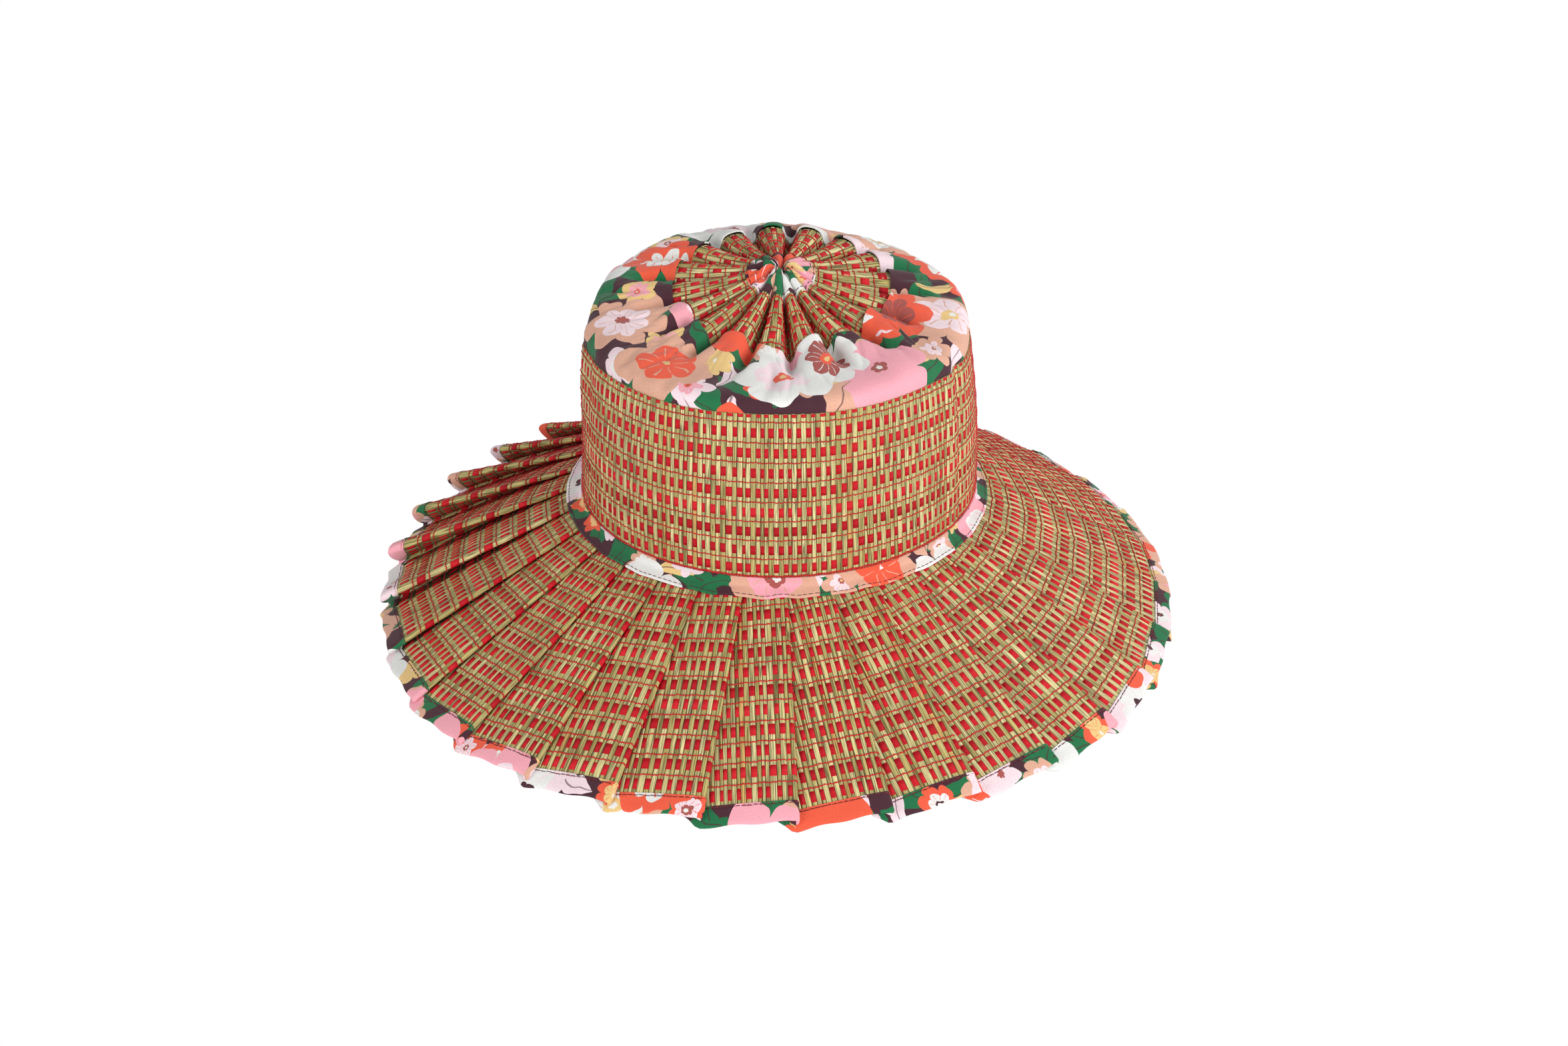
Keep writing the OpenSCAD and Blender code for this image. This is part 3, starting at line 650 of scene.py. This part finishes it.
# Reeds as thin closed strips with bevelled edges that meet their neighbours at mid-thickness
def reedPoints(surf, k, q0, q1, stations, dip, pinch, pieces=1):
    t = weave["reedT"]
    q0, q1 = q0 - weave["overlap"], q1 + weave["overlap"]
    wide = (q1 - q0)[:, None, None] + 0 * stations[:, :, None]
    bevel = np.minimum(weave["bevel"], 0.16 * wide)
    upper = bevel + np.minimum(pinch, 0.12 * wide)
    inner = np.linspace(0, 1, pieces + 1)
    offs = [0 * wide] + [upper + (wide - 2 * upper) * f for f in inner] + [wide] + \
           [bevel + (wide - 2 * bevel) * f for f in inner[::-1]]
    lifts = [-0.04] + [t] * (pieces + 1) + [-0.04] + [-t] * (pieces + 1)
    q = q0[:, None, None] + np.concatenate(offs, 2)
    n = np.array(lifts)[None, None, :] + dip[:, :, None]
    s = stations[:, :, None] + 0 * q
    # both edges, where the reed meets its neighbour, get painted shade with some dust
    groove = np.zeros(len(lifts))
    groove[[0, pieces + 2]] = 1
    return place(surf, k[:, None, None], q, s, n), groove, q, s


# How a reed sits at each station: dipped under its ribbons and pinched at its threads
def sitting(marks, first, pitch, pale, rng):
    phase = (marks - first) / pitch
    onTop = (np.floor(phase + 100)[None, :] + pale[:, None]) % 2
    middle = np.abs(phase % 1 - 0.5) < 0.3
    size = len(pale), len(marks)
    dip = np.where(middle[None, :], np.where(onTop > 0, -0.10, 0.12), 0.0) + rng.normal(0, 0.035, size)
    pinch = np.where(middle, 0.0, weave["pinch"])[None, :] + rng.uniform(-0.02, 0.10, size)
    return dip, np.maximum(0, pinch)[:, :, None]


# Stations of a reed: its ends, each row of thread and halfway to the next
def rowStations(rows, pitch, low, high):
    marks = [low]
    for s in sorted(rows):
        marks += [s, s + pitch / 2]
    return np.array([m for m in marks if low <= m < high] + [high])


# Each pleat takes its own stretch of the pattern.
def uvOf(k, q, s):
    return pairs(q + 70.0 * k, s)


# A run is (k, s, stations q, heights up from -1 to 1, kind). Runs of unequal length are padded
# with their last station, and the padding gets no faces.
def packRuns(runs):
    m = max(len(r[2]) for r in runs)
    q, up = (np.stack([np.pad(r[j], (m - len(r[j]), 0), mode="edge") for r in runs]) for j in (2, 3))
    k, s, kind = (np.array([float(r[j]) for r in runs]) for j in (0, 1, 4))
    return k[:, None, None], s, q, up, np.diff(q, axis=1) > 1e-9, kind


def runPoints(surf, k, q, s, centre, section):
    q = q[:, :, None] + 0 * section[:, 0]
    s = s[:, :, None] + section[:, 0] + 0 * q
    return place(surf, k, q, s, centre[:, :, None] + section[:, 1]), q, s


def ribbonRuns(name, surf, runs, seed, wide=weave["ribbonW"], node=None):
    k, s, q, up, keep, kind = packRuns(runs)
    rng = np.random.default_rng(seed)
    w, t = wide / 2, weave["ribbonT"]
    section = np.array([(w, t), (-w, t), (-w, -t), (w, -t)])
    points, q4, s4 = runPoints(surf, k, q, s[:, None] + 0 * q, up * weave["ribbonLift"], section)
    tone = np.where(kind > 0, 0.62, 0.48) + rng.uniform(-0.25, 0.25, len(s))
    sweep(name, points, uvOf(k, q4, s4 - s[:, None, None]), redRibbon, node, keep=keep, tone=tone, sharp=170)


def threadRuns(name, surf, runs, side, seed, node=None):
    k, s, q, up, keep, kind = packRuns(runs)
    rng = np.random.default_rng(seed)
    r = weave["threadR"]
    section = np.array([(0.87 * r, -0.5 * r), (0, r), (-0.87 * r, -0.5 * r)])
    section = section if side > 0 else section[::-1] * (1, -1)
    wobble = rng.normal(0, 0.10, s.shape)
    drift = 0.15 * np.sin(q * 0.9 + 3 * k[:, 0]) + 0.17 * up
    points, q4, s4 = runPoints(surf, k, q, (s + wobble)[:, None] - drift * side, side * (0.42 + 0.12 * up), section)
    sweep(name, points, uvOf(k, q4, s4), rowThread, node, keep=keep, sharp=150)


# Single stitches: short bowed bars of radius r
def stitches(name, node, surf, k, q, s, n, length, r):
    k, q, s, n = (x[:, None, None] for x in np.broadcast_arrays(np.asarray(k, float), q, s, n))
    f = np.array([-0.5, -0.32, 0, 0.32, 0.5])[None, :, None]
    bow = np.array([-0.9, -0.1, 0.15, -0.1, -0.9])[None, :, None] * r * 1.6
    section = np.array([(r, 0), (0, r * 0.9), (-r, 0), (0, -r * 0.9)])
    q = q + f * length + 0 * section[:, 0]
    s = s + section[:, 0] + 0 * q
    points = place(surf, k, q, s, n + bow + section[:, 1])
    sweep(name, points, uvOf(k, q, s), sewingThread, node, sharp=150)


brimPitch = weave["pitch"] * math.cos(rad(brim["slope"]))
brimRows = brim["outR"] - brim["firstRow"] - np.arange(brim["rows"]) * brimPitch
brimRows = brimRows[brimRows > brim["inR"] - 2]
edgeTrimIn = brim["outR"] - brim["trimW"] * math.cos(rad(brim["slope"]))
panelPart, foldPart, returnPart = 0, 1, 2


# Columns of every pleat: rows of (k, q0, q1, tone, pale, first s, part)
def brimColumns():
    rng = np.random.default_rng(5)
    found = []
    sGrid = np.linspace(brim["inR"], brim["outR"], 60)
    for k in range(brim["pleats"]):
        reach = panelReach(k, sGrid)
        crest = lerp(0.75, 1.6, float(raised(k)))
        edges, tones, pale = columnWidths(reach.max() - 1.0, rng, False)
        for j in range(len(tones)):
            q1, q0 = -crest - edges[j], -crest - edges[j + 1]
            middle = -(q0 + q1) / 2
            firstS = float(np.interp(middle, reach, sGrid)) if middle > reach[0] else brim["inR"]
            found.append((k, q0, q1, tones[j], pale[j], firstS, panelPart))
        found.append((k, -crest, 2.9, rng.uniform(0.1, 0.6), True, brim["inR"], foldPart))
        edges, tones, pale = columnWidths(13.0, rng, False)
        for j in range(len(tones)):
            found.append((k, 2.9 + edges[j], 2.9 + edges[j + 1], tones[j], pale[j], brim["inR"], returnPart))
        found.append((k, 15.9, valleyQ, rng.uniform(0.1, 0.9), len(tones) % 2 == 1, brim["inR"], foldPart))
    return np.array(found, float)


columns = brimColumns()


def brimReeds(name, part, pieces, node=None):
    chosen = columns[columns[:, 6] == part]
    k, q0, q1, tone, pale, firstS = chosen[:, :6].T
    marks = rowStations(brimRows, brimPitch, brim["inR"], brim["outR"] - 1.2)
    stations = np.maximum(marks[None, :], firstS[:, None])
    keep = np.diff(stations, axis=1) > 1e-6
    some = keep.any(1)
    k, q0, q1, tone, pale, stations, keep = (x[some] for x in (k, q0, q1, tone, pale, stations, keep))
    phase = pale + len(brimRows) + 1
    dip, pinch = sitting(marks, brimRows.min(), brimPitch, phase, np.random.default_rng(6))
    points, groove, q, s = reedPoints(brimSurf, k, q0, q1, stations, dip, pinch, pieces)
    k = k[:, None, None]
    if part == panelPart:
        # shade along the gap that the next crest covers
        gap = s * math.tan(pitchAngle) / (1 + math.tan(pitchAngle) * leanTan) + q
        groove = np.maximum(groove, 0.95 * (1 - smooth((gap + 0.2) / 1.7)))
    elif part == returnPart:
        # the returns, seen only in the gap under each crest, are darkened all over as painted shade, deeper where the
        # pleats are flat
        groove = np.maximum(groove, lerp(0.9, 0.6, raised(k)) + 0 * s)
    sweep(name, points, uvOf(k, q, s), reedMatting, node, keep=keep, tone=tone, groove=groove)


def brimRuns():
    ribbons, threads = [], []
    for k in range(brim["pleats"]):
        mine = columns[columns[:, 0] == k]
        mine = mine[np.argsort(mine[:, 1])]
        for i, s in enumerate(brimRows):
            cut = mine[(mine[:, 1] + mine[:, 2]) / 2 > -float(panelReach(k, np.array(s)))]
            mid = s + brimPitch * 0.46
            runs = [(threads, s)] + ([(ribbons, mid)] if mid < edgeTrimIn + 0.5 else [])
            for made, at in runs:
                qs, up = [], []
                for a, b, pale, part in cut[:, (1, 2, 4, 6)]:
                    if made is ribbons:
                        spots = (0.08, 0.3, 0.5, 0.7, 0.92) if part == foldPart else ribbonSpots
                        up += [1 if (int(pale) + i) % 2 else -1] * len(spots)
                    else:
                        spots = (0.0, 0.2, 0.4, 0.6, 0.8) if part == foldPart else threadSpots
                        up += [-1] + [1] * (len(spots) - 1)
                    qs += [a + (b - a) * f for f in spots]
                made.append((k, at, np.array(qs), np.array(up, float), i % 2))
    return ribbons, threads


brimReeds("brim_panel_reeds", panelPart, 1, "brim")
brimReeds("brim_fold_reeds", foldPart, 5)
brimReeds("brim_return_reeds", returnPart, 1)
brimRibbons, brimThreads = brimRuns()
ribbonRuns("brim_ribbons", brimSurf, brimRibbons, 8)
threadRuns("brim_row_threads_top", brimSurf, brimThreads, 1, 9)
threadRuns("brim_row_threads_under", brimSurf, brimThreads, -1, 10)
print("brim woven")

# The edge binding: half its thickness, its wrinkles, and its stitches' step, length and radius
edgeTrim = {"halfT": 0.75, "wrinkle": 0.28, "step": 2.3, "stitch": 2.05, "stitchR": 0.15}


# Stations round each pleat, and a section that wraps the matting's edge
def brimEdgeBinding():
    h, inn, out = edgeTrim["halfT"], edgeTrimIn, brim["outR"]
    path = [(inn, h - 0.25), (inn + 0.25, h + 0.12), (inn + 1.4, h - 0.12), (inn + 3.2, h + 0.05), (inn + 5.2, h),
            (out - 1.0, h - 0.02), (out - 0.25, 0.62 * h), (out, 0), (out - 0.25, -0.62 * h), (out - 1.0, -h),
            (inn + 3.2, -h), (inn + 0.25, -h), (inn, -h + 0.3), (inn + 0.3, -0.46), (out - 1.15, -0.44),
            (out - 1.15, 0.44), (inn + 0.3, 0.48)]
    ss, nn = np.array(path).T
    ks, qs = [], []
    for pleat in range(brim["pleats"]):
        reach = float(panelReach(pleat, np.array(out - 4)))
        qs += [np.linspace(-reach, 0, 22), np.linspace(0.5, 3, 6), np.linspace(5, 14, 5), np.linspace(16, 18.4, 3)]
        ks += [pleat] * 36
    k, q = np.array(ks)[:, None], np.concatenate(qs)[:, None]
    wrinkle = np.sin(q * 0.55 + k * 1.7 + ss * 0.9) * np.sin(q * 0.21 + k * 2.9)
    wrinkle = edgeTrim["wrinkle"] * (wrinkle + 0.35 * np.sin(q * 1.9 + ss * 2 + k))
    side = np.sign(nn) * smooth(np.abs(nn) / h - 0.5)
    s = ss[None, :] + 0.35 * smooth((ss - inn) / 8)[None, :] * np.sin(q * 0.33 + k * 1.3)
    points = place(brimSurf, k, q, s, nn[None, :] + wrinkle * side * 0.55)
    arc = np.cumsum(np.linalg.norm(np.diff(points[:, 4], axis=0, prepend=points[:1, 4]), axis=-1))
    turn = np.cumsum(np.hypot(np.diff(ss, prepend=ss[0]), np.diff(nn, prepend=nn[0])))
    # the section runs from the inner edge outwards over the top, so it is turned round
    uv = pairs(arc[:, None], turn[None, :])
    clothPiece("brim_edge_binding_cotton", "brim_edge_binding", points[:, ::-1], uv[:, ::-1], trimCotton)


def edgeStitches():
    rng = np.random.default_rng(31)
    k, q = [], []
    for pleat in range(brim["pleats"]):
        at = -float(panelReach(pleat, np.array(brim["outR"]))) + 3
        while at < -0.6:
            k.append(pleat)
            q.append(at)
            at += edgeTrim["step"] + rng.normal(0, 0.12)
    s = edgeTrimIn + 1.05 + rng.normal(0, 0.08, len(k))
    stitches("brim_edge_stitches", "brim_edge_stitching", brimSurf, k, q, s, edgeTrim["halfT"] + 0.12,
             edgeTrim["stitch"], edgeTrim["stitchR"])


brimEdgeBinding()
edgeStitches()
print("brim bound")


# A strip of weave with no folds of its own: makes its reeds and gives their columns back
def stripWeave(name, node, surf, seed, length, start, rows, pitch, low, high):
    rng = np.random.default_rng(seed)
    edges, tones, pale = columnWidths(length, rng, True)
    q0, q1 = edges[:-1] + start, edges[1:] + start
    marks = rowStations(rows, pitch, low, high)
    stations = np.broadcast_to(marks, (len(q0), len(marks))).copy()
    dip, pinch = sitting(marks, rows[0], pitch, pale, rng)
    points, groove, q, s = reedPoints(surf, np.zeros(len(q0)), q0, q1, stations, dip, pinch)
    sweep(name, points, pairs(q, s), reedMatting, node, tone=tones, groove=groove)
    return q0, q1, pale


# A run across a strip: a ribbon goes over and under reeds in turn, a thread dips between them.
def crossing(strip, at, row, spots):
    q0, q1, pale = strip
    q = (q0[:, None] + (q1 - q0)[:, None] * np.array(spots)).ravel()
    over = np.repeat(pale, len(spots)).astype(int) + row if spots == ribbonSpots else np.arange(len(q))
    return 0, at, q, np.where(over % 2 > 0, 1.0, -1.0), row % 2


def bandWeave():
    half, pitch = math.pi * band["r"], band["pitch"]
    rows = band["firstRow"] + np.arange(band["rows"]) * pitch
    low, high = band["low"] + 0.2, band["high"] - 0.1
    strip = stripWeave("side_band_reeds", "side_band", bandSurf, 41, 2 * half, -half, rows, pitch, low, high)
    ribbons = [crossing(strip, z + pitch * 0.48, i, ribbonSpots) for i, z in enumerate(rows) if z + pitch * 0.7 < high]
    threads = [crossing(strip, z, i, threadSpots) for i, z in enumerate(rows)]
    threads.append(crossing(strip, band["foot"], 0, (0.0, 0.25, 0.5, 0.75)))
    ribbonRuns("side_band_red_ribbons", bandSurf, ribbons, 43, node="side_band_ribbons")
    # the row that the ring's seam cuts off, of which only stubs show
    ribbonRuns("side_band_ribbon_stubs", bandSurf, [crossing(strip, high - 0.75, 0, ribbonSpots)], 46, 1.3)
    threadRuns("side_band_row_threads_outer", bandSurf, threads, 1, 44, "side_band_threads")
    threadRuns("side_band_row_threads_inner", bandSurf, threads, -1, 45)
    stitches("band_join_stitches", "band_join_stitching", lambda k, s, q: bandSurf(k, q, s),
             0, rows[:-1] + 6.8, 0.4, -0.75, 1.6, 0.2)


bandWeave()
print("side band woven")


# Gathered cloth: waves of random phase, count of them between two frequencies round the hat
def ripples(a, s, seed, count, low, high, swing=3.0):
    rng = np.random.default_rng(seed)
    total = 0
    for _ in range(count):
        f = rng.integers(low, high)
        total = total + np.sin(f * a + rng.uniform(0, tau) + swing * rng.uniform(-1, 1) * s) * rng.uniform(0.5, 1)
    return total / math.sqrt(count)


# Creases of gathered cloth, each with its own place, slant, width and depth
def creases(a, c, seed, count, depth, thin, wide):
    rng = np.random.default_rng(seed)
    total = 0
    for _ in range(count):
        at, mid = rng.uniform(0, tau), rng.uniform(0.08, 0.95)
        off = angleGap(a, at + rng.uniform(-0.35, 0.35) * (c - mid)) * 75 / rng.uniform(thin, wide)
        total = total - rng.uniform(0.35, 1) * bell(off, 1) * bell(c - mid, rng.uniform(0.10, 0.32))
    return depth * total


pleatGrid = np.linspace(0, 2, 801)


def rosetteTop(a, s):
    x = np.interp(np.mod(a, tau / crown["pleats"]), pleatAngle(pleatGrid, 1.0), pleatGrid)
    return rosetteZ(x, a, s / crown["rosetteR"])


# The puffed ring: a is the angle round it, c runs from the band (0) to the rosette (1)
def ringPoint(a, c):
    back, side = backShare(a), np.maximum(0, -np.cos(a))
    front = smooth((-np.sin(a) + 0.25) / 0.9)
    # scallops that lie over the rosette's front
    hump = 0.5 + 0.5 * np.cos(9 * (a + rad(70)) + 0.4 * np.sin(2 * a))
    outR = bandR(band["high"]) - 0.5 + bandDent(a, 1.0)
    inR = crown["rosetteR"] + 0.2 - front * (3.0 + 4.0 * hump)
    h, end = lerp(crown["frontH"], crown["backH"], back), lerp(crown["rimFront"], crown["rimBack"], back)
    for degrees, rise, wide in ((148, 3.5, 0.6), (72, -1.8, 0.09), (45, -3.4, 0.5)):
        h = h + rise * bell(angleGap(a, rad(degrees)), wide)
    puff = h * (1 - (1 - c) ** 2.8) ** (1 / 2.8) + (end - h) * c
    bulge = 3.0 * lerp(0.35, 1, back) * (1 - 0.7 * side) * np.sin(np.pi * np.clip(c / 0.42, 0, 1)) ** 1.2
    r = lerp(outR, inR, c) + bulge - leftFlat(a) * (1 - 0.5 * c)
    z = lerp(band["high"] + 0.5, band["high"], c) + puff
    z = z + (rosetteTop(a, crown["rosetteR"]) - rimZ(a)) * smooth((c - 0.4) / 0.5)
    z = z + front * hump * 2.5 * smooth((c - 0.35) / 0.5)
    body = np.sin(np.pi * c)
    z = z + body * (0.8 * ripples(a, c, 51, 4, 5, 13) + 0.35 * ripples(a, c, 52, 5, 16, 34, 9))
    z = z + smooth(c / 0.1) * (creases(a, c, 55, 90, 1.25, 1.3, 3.4) + creases(a, c, 56, 120, 0.55, 0.8, 1.5))
    r = r + body * lerp(0.3, 1, back) * 0.6 * ripples(a, c, 53, 5, 9, 26, 6)
    z = z + 0.5 * np.exp(-c / 0.09) * (c > 0) * ripples(a, 0, 54, 6, 40, 90)
    # towards its inner edge the ring lies on the rosette
    lie = rosetteTop(a, np.minimum(r, crown["rosetteR"] * 1.05)) + 1.5 + front * hump * 1.8
    z = lerp(z, np.maximum(lie, lerp(lie, z, 0.3)), smooth((c - 0.8) / 0.17))
    return polar(a, r, z, [m * smooth(c) for m in crown["middle"]])


def crownRing():
    a = stepsRound(tau, 900)
    c = np.concatenate([[0.0, 0.0, 0.012, 0.03, 0.055], np.linspace(0.085, 1, 42)])[None, :]
    e = 1e-3
    p = ringPoint(a, c)
    p[:, 0, 2] -= 1.2
    da = ringPoint(a + e, c) - ringPoint(a - e, c)
    dc = ringPoint(a, np.clip(c + e, 0, 1)) - ringPoint(a, np.clip(c - e, 0, 1))
    normal = unit(np.cross(da, dc))
    arc = np.cumsum(np.linalg.norm(np.diff(p, axis=1, prepend=p[:, :1]), axis=-1), axis=1)
    over, under = p + 0.35 * normal, p - 0.35 * normal
    uv = pairs(a * 74, arc)
    points, uv = np.concatenate([over, under[:, ::-1]], 1), np.concatenate([uv, uv[:, ::-1]], 1)
    clothPiece("crown_ring_cotton", "crown_ring", points, uv, ringCotton,
               75)


def rosetteWeave():
    pitch, inR, outR = crown["pitch"], crown["matInR"], crown["rosetteR"]
    rows = crown["firstRow"] + np.arange(crown["rows"]) * pitch
    length = 2 * crown["pleats"] * crown["flank"]
    strip = stripWeave("rosette_reeds", "crown_rosette", rosetteSurf, 61, length, 0, rows, pitch, inR, outR + 0.4)
    ribbons, threads = [], []
    for i, r in enumerate([rows[0] - pitch, *rows]):
        if inR < r + 2 and r + 6.2 < outR:
            ribbons.append(crossing(strip, r + 4.1, i, ribbonSpots))
        if inR < r < outR - 0.5:
            threads.append(crossing(strip, r, i, threadSpots))
    ribbonRuns("rosette_ribbons", rosetteSurf, ribbons, 62)
    threadRuns("rosette_row_threads", rosetteSurf, threads, 1, 63)
    threadRuns("rosette_row_threads_under", rosetteSurf, threads, -1, 64)


def rosetteBinding():
    full = 2 * crown["pleats"] * crown["flank"]
    q = stepsRound(full, 34 * 16)
    path = [(1.6, 0.0), (2.6, 0.35), (4.5, 0.40), (6.5, 0.45), (8.5, 0.62), (11.0, 0.9), (13.0, 1.0), (15.0, 0.98),
            (15.7, 0.85), (15.8, 0.5), (15.8, -0.5), (15.7, -0.8), (13.5, -0.9), (9.0, -0.75), (6.5, -0.45),
            (2.6, -0.35)]
    s, n = np.array(path).T[:, None, :]
    # towards the middle the cloth bunches into a few high fins
    flat = rosetteSurf(0, q, s)
    a = np.arctan2(flat[..., 1] - crown["middle"][1], flat[..., 0] - crown["middle"][0])
    fin = np.abs(np.cos(3.5 * a + 0.6 * np.sin(2 * a + 0.5))) ** 0.8
    high = crown["rosetteZ"] - 2.5 + 7.0 * fin * smooth(s / 3.5) + 0.8 * ripples(a, 0, 71, 4, 3, 12)
    points = place(rosetteSurf, 0, q, s, n)
    points[..., 2] += (high - flat[..., 2]) * smooth((12.0 - s) / 6.5)
    turn = np.cumsum(np.hypot(np.diff(s, prepend=1.6), np.diff(n, prepend=0)), axis=1)
    clothPiece("rosette_binding_cotton", "rosette_binding", points, pairs(q * 0.8, turn), trimCotton)
    stitches("rosette_stitches", "rosette_stitching", rosetteSurf, 0, np.arange(0, full, 2.6), 14.9, 1.12, 1.9, 0.16)


# The thread that draws the rosette's middle together
def gatheringLoop():
    loopR, threadR = 2.4, 0.3
    turn = stepsRound(tau, 60)
    ring = stepsRound(tau, 8)[:, 0]
    tube = polar(turn, loopR + threadR * np.cos(ring), crown["rosetteZ"] - 4 + threadR * np.sin(ring) + 0 * turn,
                 crown["middle"])
    sweep("rosette_gathering_loop", tube[None], pairs(turn * loopR, ring * threadR)[None], sewingThread,
          "rosette_gathering_thread", closeAlong=True, sharp=150)


crownRing()
rosetteWeave()
rosetteBinding()
gatheringLoop()
print("crown made")

# The cotton strip over the seam of band and brim: its section from the band's face (s below 0)
# out over the brim (above 0), then back underneath
headTrim = {"perTurn": 100.0, "gap": 0.75, "rise": 0.35, "bend": 1.6, "step": 2.6, "stitch": 2.25, "stitchR": 0.15}


def headTrimSurf(k, q, s):
    a = q / headTrim["perTurn"]
    corner = band["r"] + headTrim["gap"]
    out, climb = np.maximum(s, 0), np.maximum(-s, 0)
    bend = 1 - np.abs(np.clip(s / headTrim["bend"], -1, 1))
    r = corner + np.where(s > 0, out * math.cos(rad(brim["slope"])), 0) + 0.35 * bend
    crestTop = brimZ(np.where(s > 0, r, corner)) + brim["halfT"] + brim["headH"] + 0.5
    z = crestTop + headTrim["rise"] + climb + 0.45 * bend
    z = z + (0.30 * ripples(a, out * 0.1, 81, 6, 20, 60) * smooth(out / 5) +
             0.22 * np.sin(32 * a + 1.2) * smooth(out / 4))
    return polar(a, r - leftFlat(a) * (1 - smooth(out / 6)), z)


def headBinding():
    full = headTrim["perTurn"] * tau
    q = stepsRound(full, 640)
    ss = np.concatenate([np.linspace(-4.0, -0.4, 4), np.linspace(0, 5.9, 9), [6.2, 6.2],
                         np.linspace(5.8, 0.4, 5), [-0.4, -4.0]])
    nn = np.array([0.3] * 4 + [0.32] * 9 + [0.1, -0.2] + [-0.3] * 7)
    points = place(headTrimSurf, 0, q, ss[None, :], nn[None, :])
    clothPiece("head_binding_cotton", "head_binding", points[:, ::-1], pairs(q, ss[None, :] + 10)[:, ::-1], trimCotton)
    at = np.arange(0, full - 1, headTrim["step"])
    at = at + np.random.default_rng(82).normal(0, 0.1, len(at))
    stitches("head_binding_stitches", "head_binding_stitching", headTrimSurf, 0, at, 4.9, 0.38,
             headTrim["stitch"], headTrim["stitchR"])


headBinding()

# The sweatband: its inner radius, and its stitches' step, length and radius
sweat = {"headR": 91.514, "step": 3.1, "stitch": 2.4, "stitchR": 0.22}


def sweatband():
    low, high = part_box("sweatband")
    z0, z1 = low[2] * 1000, high[2] * 1000
    headR = sweat["headR"]
    a = stepsRound(tau, 360)
    path = [(1.1, z0), (1.1, z0 + 1.2), (1.0, z0 + 2.3), (0.1, z0 + 2.9), (0, z0 + 8), (0, z0 + 14), (0, z0 + 20),
            (0, z1 - 2), (0.15, z1 - 0.5), (0.5, z1), (0.85, z1 - 0.4), (0.9, z1 - 4), (1.5, z0 + 12), (2.05, z0 + 2),
            (1.9, z0)]
    r, z = np.array(path).T
    r, z = headR + r + 0 * a, z + 0 * a
    soft = np.abs(0.10 * ripples(a, z / 8, 91, 6, 12, 40, 1.0))
    r = r + np.where(r < headR + 0.2, soft, 0) - leftFlat(a)
    turn = np.cumsum(np.hypot(np.diff(r, prepend=r[:, :1]), np.diff(z, prepend=z[:, :1])), axis=1)
    clothPiece("sweatband_cotton", "sweatband", polar(a, r, z)[:, ::-1], pairs(a * headR, turn)[:, ::-1],
               liningCotton)

    def inside(k, q, s):
        return polar(q / headR, headR + 1.1 - leftFlat(q / headR), s)

    stitches("sweatband_stitches", "sweatband_stitching", inside, 0, np.arange(0, tau * headR - 1, sweat["step"]),
             z0 + 1.2, 0.1, sweat["stitch"], sweat["stitchR"])


sweatband()
print("head opening trimmed")

# Metres from here on. Each lamp has a place, a size and a power.
studio = {
    "floor": 3.0, "floorZ": -0.0005, "sky": 0.50, "aim": (0, 0, 0.08),
    "lamps": {"key": ((0.85, -1.05, 0.60), 0.7, 14.8), "fill": ((-1.0, -0.9, 0.28), 0.9, 11.3),
              "side": ((1.1, 0.35, 0.8), 0.8, 6.5)},
}


# One shader for light and another for the camera, which sees plain white
def whiteToCamera(tree, lit, seen, output):
    path = add(tree, "LightPath", (), "Is Camera Ray")
    add(tree, output, {"Surface": add(tree, "MixShader", [path, lit, seen])}, None)


# A matt pale floor that gives its light back to the hat from below, an even sky and three lamps
def makeStudio():
    material, tree = newMaterial("studio_floor_white")
    whiteToCamera(tree, add(tree, "BsdfDiffuse", {"Color": (0.75, 0.75, 0.75, 1)}),
                  add(tree, "Emission", {"Color": (1, 1, 1, 1), "Strength": 1.0}), "OutputMaterial")
    mesh = bpy.data.meshes.new("floor")
    d, z = studio["floor"], studio["floorZ"]
    mesh.from_pydata([(-d, -d, z), (d, -d, z), (d, d, z), (-d, d, z)], [], [(0, 1, 2, 3)])
    floor = bpy.data.objects.new("floor", mesh)
    bpy.context.scene.collection.objects.link(floor)
    mesh.materials.append(material)
    world = bpy.data.worlds.new("studio")
    bpy.context.scene.world = world
    world.use_nodes = True
    world.node_tree.nodes.clear()
    lit, seen = (add(world.node_tree, "Background", {"Color": (1, 1, 1, 1), "Strength": strength})
                 for strength in (studio["sky"], 1.0))
    whiteToCamera(world.node_tree, lit, seen, "OutputWorld")
    for name, (spot, size, power) in studio["lamps"].items():
        light = bpy.data.lights.new(name, "AREA")
        light.size = size
        light.energy = power
        lamp = bpy.data.objects.new(name, light)
        lamp.visible_camera = False
        bpy.context.scene.collection.objects.link(lamp)
        lamp.location = spot
        x, y, z = np.array(spot) - np.array(studio["aim"])
        lamp.rotation_euler = (math.atan2(math.hypot(x, y), z), 0, math.atan2(x, -y))


# The camera's place in metres, its pitch down in degrees, its lens and sensor in millimetres
camera = {"place": (0.0034, -0.6, 0.3835), "pitch": 30.89, "lens": 32.54, "sensor": 36}


def makeCamera():
    lens = bpy.data.cameras.new("camera")
    lens.sensor_width = camera["sensor"]
    lens.lens = camera["lens"]
    lens.clip_start = 0.01
    seen = bpy.data.objects.new("camera", lens)
    bpy.context.scene.collection.objects.link(seen)
    seen.location = camera["place"]
    seen.rotation_euler = (rad(90 - camera["pitch"]), 0, 0)
    bpy.context.scene.camera = seen


makeStudio()
makeCamera()
bpy.context.scene.view_settings.view_transform = "Standard"
print("studio lit")
